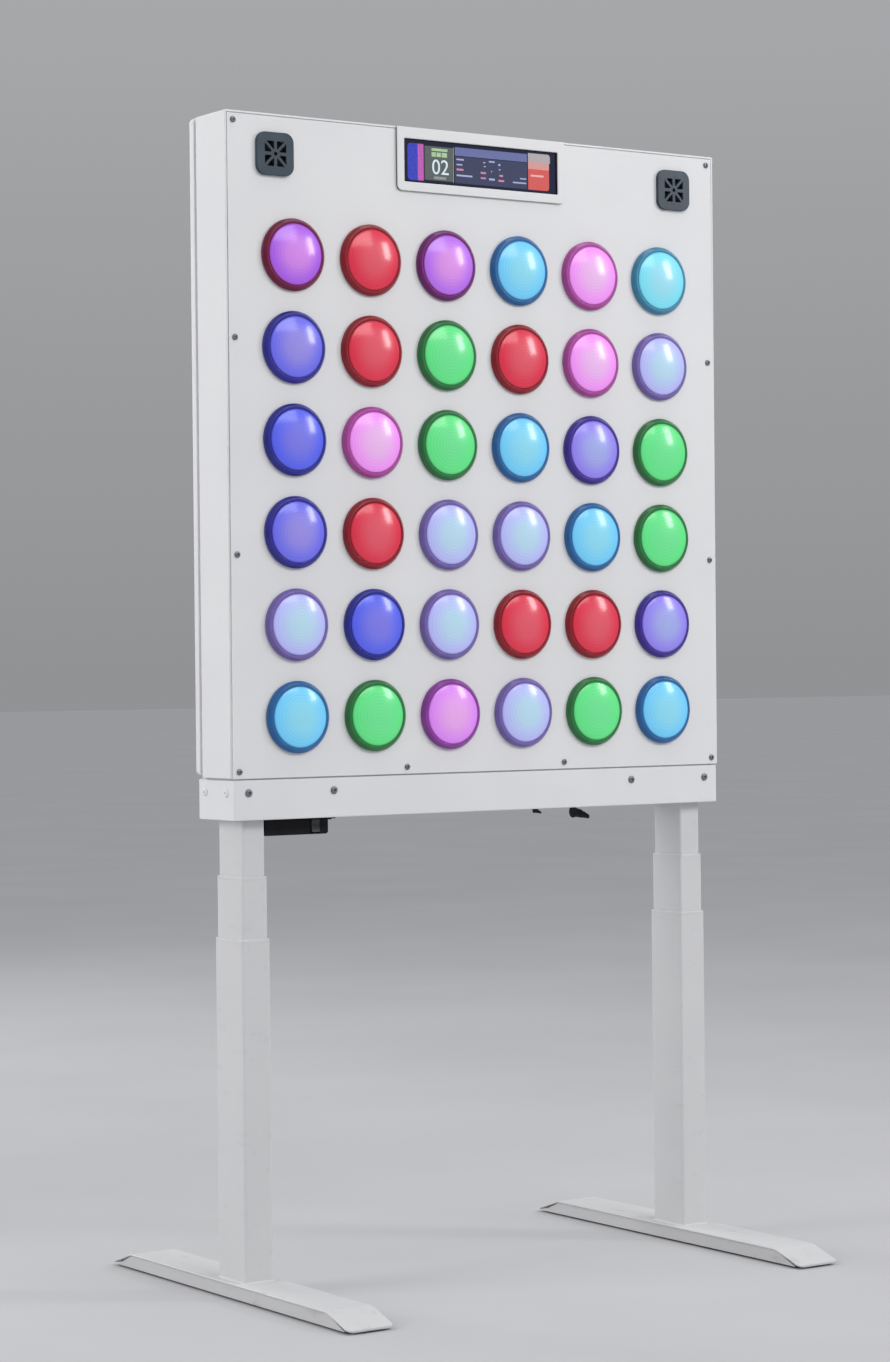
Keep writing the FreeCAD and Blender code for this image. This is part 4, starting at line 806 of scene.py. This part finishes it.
def set_profile_map(piece, rows, steps, distance):
    """UV map named profile: U is the distance along the turned profile, from 0 to 1, and V the way
    round."""
    mesh = piece.data
    corners = np.empty(len(mesh.loops), dtype=np.int64)
    mesh.loops.foreach_get("vertex_index", corners)
    flat = np.zeros((len(corners), 2))
    flat[:, 0] = distance[np.minimum(corners // steps, rows - 1)]
    flat[:, 1] = (corners % steps) / steps
    mesh.uv_layers.new(name="profile").data.foreach_set("uv", flat.ravel())


bezel_profile = (
    [(BARREL_BORE, -DISH_FLOOR), (BEZEL_BORE - 0.0006, -DISH_FLOOR), (BEZEL_BORE, -DISH_FLOOR - 0.0006)]
    + arc((BEZEL_BORE + 0.0008, -BEZEL_RIM + 0.0008), 0.0008, 180, 270, 4)
    + arc((BEZEL_LIP - 0.0016, -BEZEL_RIM + 0.0016), 0.0016, 270, 330, 4)
    + arc((BEZEL_OUTER - 0.0022, -BEZEL_SHOULDER + 0.0016), 0.0022, 325, 360, 4)
    + [(BEZEL_OUTER, -0.0004), (BEZEL_OUTER - 0.0004, 0.0), (BARREL, 0.0), (BARREL, BARREL_LENGTH),
       (BARREL_BORE, BARREL_LENGTH)])
bezel_points = np.array(bezel_profile)
lip_distance = np.clip((bezel_points[:, 0] - BEZEL_BORE) / (BEZEL_OUTER - BEZEL_BORE), 0.0, 1.0)
button_centres = {}
bezel_finishes = {colour: bezel_finish(colour) for colour in COLOURS}
for row, colours in enumerate(BUTTON_ROWS, start=1):
    for column, colour in enumerate(colours, start=1):
        tag = "r%d_c%d" % (row, column)
        low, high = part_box("button_" + tag)
        centre = ((low[0] + high[0]) / 2, front, (low[2] + high[2]) / 2)
        button_centres[tag] = (centre, colour)
        ring = turned(bezel_profile, BUTTON_STEPS, centre, "y")
        piece = make_piece("bezel_" + tag, [skin(ring, ring=True)], bezel_finishes[colour], "head",
                           ["button_bezels"], smooth_angle=40.0)
        set_profile_map(piece, len(bezel_profile), BUTTON_STEPS, lip_distance)

# ------------------------------------------------------------------ button lenses
# Each button is a shallow glossy dome, moulded in coloured translucent plastic with a short stem, lit from
# below. It is paler over the lamp, with faint moulded rings, and its rolled edge catches a thin line of
# light.
DOME_SKIRT, DOME_EDGE, DOME_CROWN, DOME_WALL = 0.0065, 0.0094, 0.0175, 0.0025
STEM_RADIUS, STEM_DEPTH = 0.006, 0.022
cap_rise = DOME_CROWN - DOME_EDGE
cap_radius = (DOME_RADIUS ** 2 + cap_rise ** 2) / (2 * cap_rise)
EDGE_EASE = 0.0006


def cap_depth(radius, wall=0.0):
    """Depth of the dome's face: the cap's radius less the crown, less the square root of (cap's radius less
    the wall) squared less the radius squared."""
    return cap_radius - DOME_CROWN - np.sqrt((cap_radius - wall) ** 2 - radius ** 2)


outside_radii = np.linspace(0.0, 1.0, 15)[1:] ** 0.85 * (DOME_RADIUS - EDGE_EASE)
inside_radii = np.linspace(STEM_RADIUS, DOME_RADIUS - DOME_WALL, 6)
dome_profile = (
    [(0.0004, STEM_DEPTH), (STEM_RADIUS, STEM_DEPTH)] + [(r, cap_depth(r, DOME_WALL)) for r in inside_radii]
    + [(DOME_RADIUS - DOME_WALL, -DOME_SKIRT), (DOME_RADIUS, -DOME_SKIRT), (DOME_RADIUS, -DOME_EDGE + 0.0005),
       (DOME_RADIUS - 0.0002, -DOME_EDGE + 0.0001)]
    + [(r, cap_depth(r)) for r in outside_radii[::-1]] + [(0.0004, cap_depth(0.0004))])


def lens_finish(colour):
    """Lit lens: colour by distance from the middle on the lens map, faint moulded rings, gloss over the
    top."""
    middle, edge, ring = (tuple(share * part for part in paint(*tint))
                          for share, tint in zip((0.68, 0.82, 0.84), COLOURS[colour][1:]))
    finish, tree, shader = new_finish("lens_" + colour, edge, 0.24)
    place = tree.nodes.new("ShaderNodeUVMap")
    place.uv_map = "lens"
    length = tree.nodes.new("ShaderNodeVectorMath")
    length.operation = "LENGTH"
    tree.links.new(place.outputs["UV"], length.inputs[0])
    distance = length.outputs["Value"]
    near_middle = tuple(0.8 * a + 0.2 * b for a, b in zip(middle, edge))
    near_rim, rim = (tuple((1 - share) * a + share * b for a, b in zip(edge, ring)) for share in (0.1, 0.45))
    tone = graded(tree, distance, [(0.0, middle), (0.42, near_middle), (0.84, edge), (0.955, near_rim),
                                   (0.975, rim), (1.0, ring)])
    waves = tree.nodes.new("ShaderNodeMath")
    waves.operation = "SINE"
    turns = tree.nodes.new("ShaderNodeMath")
    turns.operation = "MULTIPLY"
    turns.inputs[1].default_value = 58.0
    tree.links.new(distance, turns.inputs[0])
    tree.links.new(turns.outputs["Value"], waves.inputs[0])
    rings = graded(tree, waves.outputs["Value"], [(0.0, 0.97), (1.0, 1.03)])
    shaded = tree.nodes.new("ShaderNodeMixRGB")
    shaded.blend_type = "MULTIPLY"
    shaded.inputs["Fac"].default_value = 1.0
    tree.links.new(tone, shaded.inputs["Color1"])
    tree.links.new(rings, shaded.inputs["Color2"])
    tree.links.new(shaded.outputs["Color"], shader.inputs["Base Color"])
    tree.links.new(shaded.outputs["Color"], shader.inputs["Emission Color"])
    shader.inputs["Emission Strength"].default_value = 0.44
    shader.inputs["Specular IOR Level"].default_value = 0.25
    shader.inputs["Coat Weight"].default_value = 0.38
    shader.inputs["Coat Roughness"].default_value = 0.13
    embossed(tree, shader, waves.outputs["Value"], 0.05, 0.0003)
    return finish


def set_lens_map(piece, centre):
    """UV map named lens: place on the lens seen square on, as a share of its radius, so the middle is (0,
    0)."""
    mesh = piece.data
    points = np.empty(len(mesh.vertices) * 3)
    mesh.vertices.foreach_get("co", points)
    corners = np.empty(len(mesh.loops), dtype=np.int64)
    mesh.loops.foreach_get("vertex_index", corners)
    flat = (points.reshape(-1, 3)[:, [0, 2]] - (centre[0], centre[2])) / DOME_RADIUS
    mesh.uv_layers.new(name="lens").data.foreach_set("uv", flat[corners].ravel())


lens_finishes = {colour: lens_finish(colour) for colour in COLOURS}
for tag, (centre, colour) in button_centres.items():
    dome = turned(dome_profile, BUTTON_STEPS, centre, "y")
    piece = make_piece("lens_" + tag, [skin(dome)], lens_finishes[colour], "dome_" + tag, ["button_" + tag],
                       smooth_angle=50.0, weighted=False)
    set_lens_map(piece, centre)

# ------------------------------------------------------------------ springs and switches
# Behind each lens a coil spring returns it, and a black switch and lamp holder is pushed into the barrel's
# end. They sit inside the bezels and the case, out of sight.
spring_wire, spring_tree, spring_shader = new_finish("spring_wire", (0.55, 0.55, 0.57), 0.3, metallic=1.0)
varied(spring_tree, spring_shader, "Roughness", 900.0, [(0.3, 0.22), (0.7, 0.42)], 2.0, (1.0, 6.0, 1.0))
SPRING_RADIUS, SPRING_WIRE, SPRING_TURNS, TURN_STEPS, WIRE_STEPS, END_TURN = 0.01075, 0.0007, 5, 20, 8, 0.8
spring_floor = front - DISH_FLOOR - SPRING_WIRE
spring_top = front + cap_depth(SPRING_RADIUS, DOME_WALL) + SPRING_WIRE
turn = np.linspace(0.0, SPRING_TURNS, SPRING_TURNS * TURN_STEPS + 1)
# Helix of constant radius whose end turns lie flat, with a round wire carried along it.
coil_rise = np.interp(turn, [0.0, END_TURN, SPRING_TURNS - END_TURN, SPRING_TURNS],
                      [spring_floor, spring_floor, spring_top, spring_top])
wire_angle = np.linspace(0.0, 2 * math.pi, WIRE_STEPS, endpoint=False)
coil_radius = np.broadcast_to(SPRING_RADIUS + SPRING_WIRE * np.cos(wire_angle), (len(turn), WIRE_STEPS))
coil = np.stack([coil_radius * np.cos(2 * math.pi * turn)[:, None],
                 coil_rise[:, None] + SPRING_WIRE * np.sin(wire_angle),
                 coil_radius * np.sin(2 * math.pi * turn)[:, None]], axis=2)
for tag, (centre, _) in button_centres.items():
    spring = make_piece("spring_" + tag, [skin(coil + (centre[0], 0.0, centre[2]))], spring_wire, None,
                        ["button_springs"], smooth_angle=60.0, weighted=False)
    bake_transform(spring)
give_finish("button_switches", black_plastic)

# ------------------------------------------------------------------ screws and button nuts
# Dark plated pan-head screws with a hexagon socket hold the panel and the band; those on the band's ends
# and on the rear cover are painted over. Hexagon nuts hold the bezels from behind.
SCREW_HEAD, BAND_HEAD, SCREW_RISE, SCREW_SHANK, SCREW_LENGTH = 0.0048, 0.006, 0.0026, 0.002, 0.008
SOCKET, SCREW_STEPS = 0.0018, 24
SCREW_INSET, PANEL_FOOT, REAR_FOOT = 0.0142, 0.0105, 0.017
BAND_OUTER, BAND_INNER, BAND_DROP, SIDE_FRONT, SIDE_REAR = 0.4367, 0.2854, 0.019, 0.0304, 0.0326


def screw_profile(head, length):
    """Head and shank of a screw, from the bottom of its socket to its tip; depth is measured into the
    sheet."""
    return [(0.0002, -0.0009), (SOCKET, -0.0009), (SOCKET, -SCREW_RISE + 0.0001),
            (SOCKET + 0.0003, -SCREW_RISE), (head * 0.62, -SCREW_RISE), (head * 0.85, -SCREW_RISE * 0.8),
            (head, -SCREW_RISE * 0.42),
            (head, 0.0), (SCREW_SHANK, 0.0), (SCREW_SHANK, length - 0.0006), (SCREW_SHANK - 0.0006, length)]


def screw(centre, axis, way, head=SCREW_HEAD, length=SCREW_LENGTH):
    """One screw driven along an axis, forwards or backwards."""
    stations = np.array(screw_profile(head, length)) * (1, way)
    return skin(turned(stations, SCREW_STEPS, centre, axis, flats=(0, 1, 2)))


screw_steel, screw_tree, screw_shader = new_finish("screw_steel", paint(120, 124, 132), 0.38, metallic=0.55)
varied(screw_tree, screw_shader, "Base Color", 500.0,
       [(0.3, paint(104, 108, 118)), (0.7, paint(138, 142, 150))], detail=5.0)
panel_x = case_high[0] - SCREW_INSET
panel_tops = np.linspace(case_high[2] - SCREW_INSET, case_low[2] + PANEL_FOOT, 4)
panel_spots = [(side * panel_x, z) for side in (-1, 1) for z in panel_tops]
panel_spots += [(side * panel_x / 3, case_low[2] + PANEL_FOOT) for side in (-1, 1)]
band_z = band_high[2] - BAND_DROP
dark_screws = [screw((x, front, z), "y", 1) for x, z in panel_spots]
dark_screws += [screw((side * x, front, band_z), "y", 1, BAND_HEAD) for side in (-1, 1)
                for x in (BAND_OUTER, BAND_INNER)]
make_piece("panel_and_band_screws", dark_screws, screw_steel, "head", ["fasteners"])
rear_tops = np.linspace(case_high[2] - SCREW_INSET, case_low[2] + REAR_FOOT, 4)
rear_length = cover_back - case_rear + SCREW_LENGTH
pale_screws = [screw((side * panel_x, cover_back, z), "y", -1, length=rear_length)
               for side in (-1, 1) for z in rear_tops]
pale_screws += [screw((side * band_high[0], y, band_z), "x", -side, BAND_HEAD) for side in (-1, 1)
                for y in (-SIDE_FRONT, SIDE_REAR)]
make_piece("painted_screws", pale_screws, case_coat, "head", ["fasteners"])
NUT_FLAT, NUT_HEIGHT, NUT_PLAY = 0.016, 0.007, 0.0001
nut_back = panel_back + NUT_HEIGHT
nut_profile = [(NUT_FLAT, panel_back), (NUT_FLAT, nut_back), (BARREL + NUT_PLAY, nut_back),
               (BARREL + NUT_PLAY, panel_back)]
nuts = [skin(turned(nut_profile, SCREW_STEPS, (centre[0], 0.0, centre[2]), "y", flats=(0, 1)), ring=True)
        for centre, _ in button_centres.values()]
make_piece("button_nuts", nuts, screw_steel, "head", ["fasteners"])

# ------------------------------------------------------------------ controller board
# The game's circuit board stands on four posts inside the rear cover, with its power socket through the
# cover.
board_laminate, board_tree, board_shader = new_finish("board_laminate", (0.01, 0.10, 0.045), 0.3)
varied(board_tree, board_shader, "Base Color", 160.0,
       [(0.48, (0.008, 0.085, 0.04)), (0.52, (0.02, 0.14, 0.06))], detail=1.0)
give_finish("controller_board", board_laminate)

# ------------------------------------------------------------------ lift control box and rocker
# A black moulded box hangs under the band beside the left column on a thin flange, with a dark grey rocker
# switch in its front that raises and lowers the head.
EAR_THICK, BAND_CLEARANCE, BOX_CHAMFER, BOX_ROUND = 0.003, 0.0002, 0.0004, 0.0015
EAR_SCREW_HEIGHT, EAR_SCREW_INSET, EAR_SCREW_SIDE = 0.0018, 0.007, 0.010
EAR_SCREW_PROFILE = [(0.0002, 0.0012), (0.0012, 0.0012), (0.0014, 0.0), (0.0034, 0.0), (0.0038, 0.0006),
                     (0.0038, EAR_SCREW_HEIGHT), (0.0002, EAR_SCREW_HEIGHT)]
control_low, control_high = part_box("lift_control_box")
rocker_low, rocker_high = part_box("lift_rocker")
CONTROL_EAR, POCKET_PLAY_X, POCKET_PLAY_Z, POCKET_DEEP = 0.015, 0.0005, 0.0018, 0.0096
box_high_x = control_high[0] - CONTROL_EAR
pocket_low = np.array([rocker_low[0] - POCKET_PLAY_X, rocker_low[2] - POCKET_PLAY_Z])
pocket_high = np.array([rocker_high[0] + POCKET_PLAY_X, rocker_high[2] + POCKET_PLAY_Z])
box_low = np.array([control_low[0], control_low[2]])
box_high = np.array([box_high_x, control_high[2] - BAND_CLEARANCE])
body_loop, chamfer_loop, face_loop = (rounded_loop(box_low + inset, box_high - inset, 0.004 - inset, 6)
                                      for inset in (0.0, BOX_CHAMFER, BOX_ROUND))
stack = [
    (body_loop, control_high[1]), (body_loop, control_low[1] + BOX_ROUND),
    (chamfer_loop, control_low[1] + BOX_CHAMFER), (face_loop, control_low[1]),
    (rounded_loop(pocket_low - 0.0006, pocket_high + 0.0006, 0.001, 6), control_low[1]),
    (rounded_loop(pocket_low, pocket_high, 0.0006, 6), control_low[1] + 0.0006),
    (rounded_loop(pocket_low, pocket_high, 0.0006, 6), control_low[1] + POCKET_DEEP)]
control = np.zeros((len(stack), len(body_loop), 3))
control[:, :, [0, 2]] = np.stack([loop for loop, _ in stack])
control[:, :, 1] = np.array([place for _, place in stack])[:, None]
flange = carried((control_low[0] + 0.03, control_low[1]), (control_high[0], control_high[1]), 0.004,
                 [(0.0, control_high[2] - EAR_THICK), (0.0, control_high[2] - BOX_CHAMFER),
                  (BOX_CHAMFER, control_high[2])], "z", ring=False)
ear_screw_z = control_high[2] - EAR_THICK - EAR_SCREW_HEIGHT
ear_screws = [skin(turned(EAR_SCREW_PROFILE, 20, (control_high[0] - EAR_SCREW_INSET, y, ear_screw_z), "z"))
              for y in (control_low[1] + EAR_SCREW_SIDE, control_high[1] - EAR_SCREW_SIDE)]
make_piece("control_box_moulding", [skin(control), skin(flange)] + ear_screws, black_plastic, "head",
           ["lift_control_box"])

rocker_plastic, rocker_tree, rocker_shader = new_finish("rocker_plastic", paint(44, 45, 50), 0.42)
embossed(rocker_tree, rocker_shader, mottle(rocker_tree, 1400.0, 2.0), 0.15, 0.0002)
ROCKER_STEPS = 13
tilt = np.linspace(-1.0, 1.0, ROCKER_STEPS)
face_y = rocker_low[1] + 0.0015 * (1 - tilt ** 2)
face_z = (rocker_low[2] + rocker_high[2]) / 2 + tilt * (rocker_high[2] - rocker_low[2]) / 2
tail = np.array([(control_low[1], rocker_high[2]), (rocker_high[1], (3 * rocker_high[2] + rocker_low[2]) / 4),
                 (rocker_high[1], (rocker_high[2] + 3 * rocker_low[2]) / 4), (control_low[1], rocker_low[2])])
section = np.concatenate([np.stack([face_y, face_z], axis=1), tail])
middle = section.mean(axis=0)
rocker_x = np.array([rocker_low[0], rocker_low[0] + 0.0008, rocker_high[0] - 0.0008, rocker_high[0]])
shrink = np.array([0.93, 1.0, 1.0, 0.93])
rocker_points = np.zeros((4, len(section), 3))
rocker_points[:, :, 0] = rocker_x[:, None]
rocker_points[:, :, 1:] = middle + (section[None] - middle) * shrink[:, None, None]
make_piece("rocker_moulding", [skin(rocker_points)], rocker_plastic, "rocker", ["lift_rocker"])

# ------------------------------------------------------------------ lead fittings under the band
# The lift motors' leads run inside the band. A black moulded strain relief, where they come out through its
# floor, is pushed in from below, and a small clip of the same plastic sits further to the left.
FITTING_Y, FITTING_ROWS, FITTING_STEPS = -0.008, 12, 20
fitting_along = np.linspace(0.0, 1.0, FITTING_ROWS)
fitting_angle = np.linspace(0.0, 2 * math.pi, FITTING_STEPS, endpoint=False)
fitting_taper = np.interp(fitting_along, [0.0, 0.08, 0.12, 0.55, 0.6, 1.0],
                          [1.0, 1.0, 0.81, 0.71, 0.57, 0.33])
fitting_taper *= np.where((fitting_along > 0.6) & (np.arange(FITTING_ROWS) % 2 == 0), 1.18, 1.0)


def lead_fitting(name, start_x, reach, thick):
    """Ribbed sleeve: a circle, tapered as above, carried along a path that droops as the 1.4th power of its
    way."""
    path = np.stack([start_x + reach * fitting_along, np.full(FITTING_ROWS, FITTING_Y),
                     band_low[2] - thick * (1 + 0.9 * fitting_along ** 1.4)], axis=1)
    round_it = np.stack([np.zeros(FITTING_STEPS), np.cos(fitting_angle), np.sin(fitting_angle)], axis=1)
    sleeve = path[:, None] + (thick * fitting_taper)[:, None, None] * round_it[None]
    make_piece(name, [skin(sleeve)], black_plastic, "head", [], smooth_angle=50.0)


lead_fitting("lead_strain_relief", 0.199, 0.032, 0.0095)
lead_fitting("lead_clip", 0.122, 0.014, 0.0045)
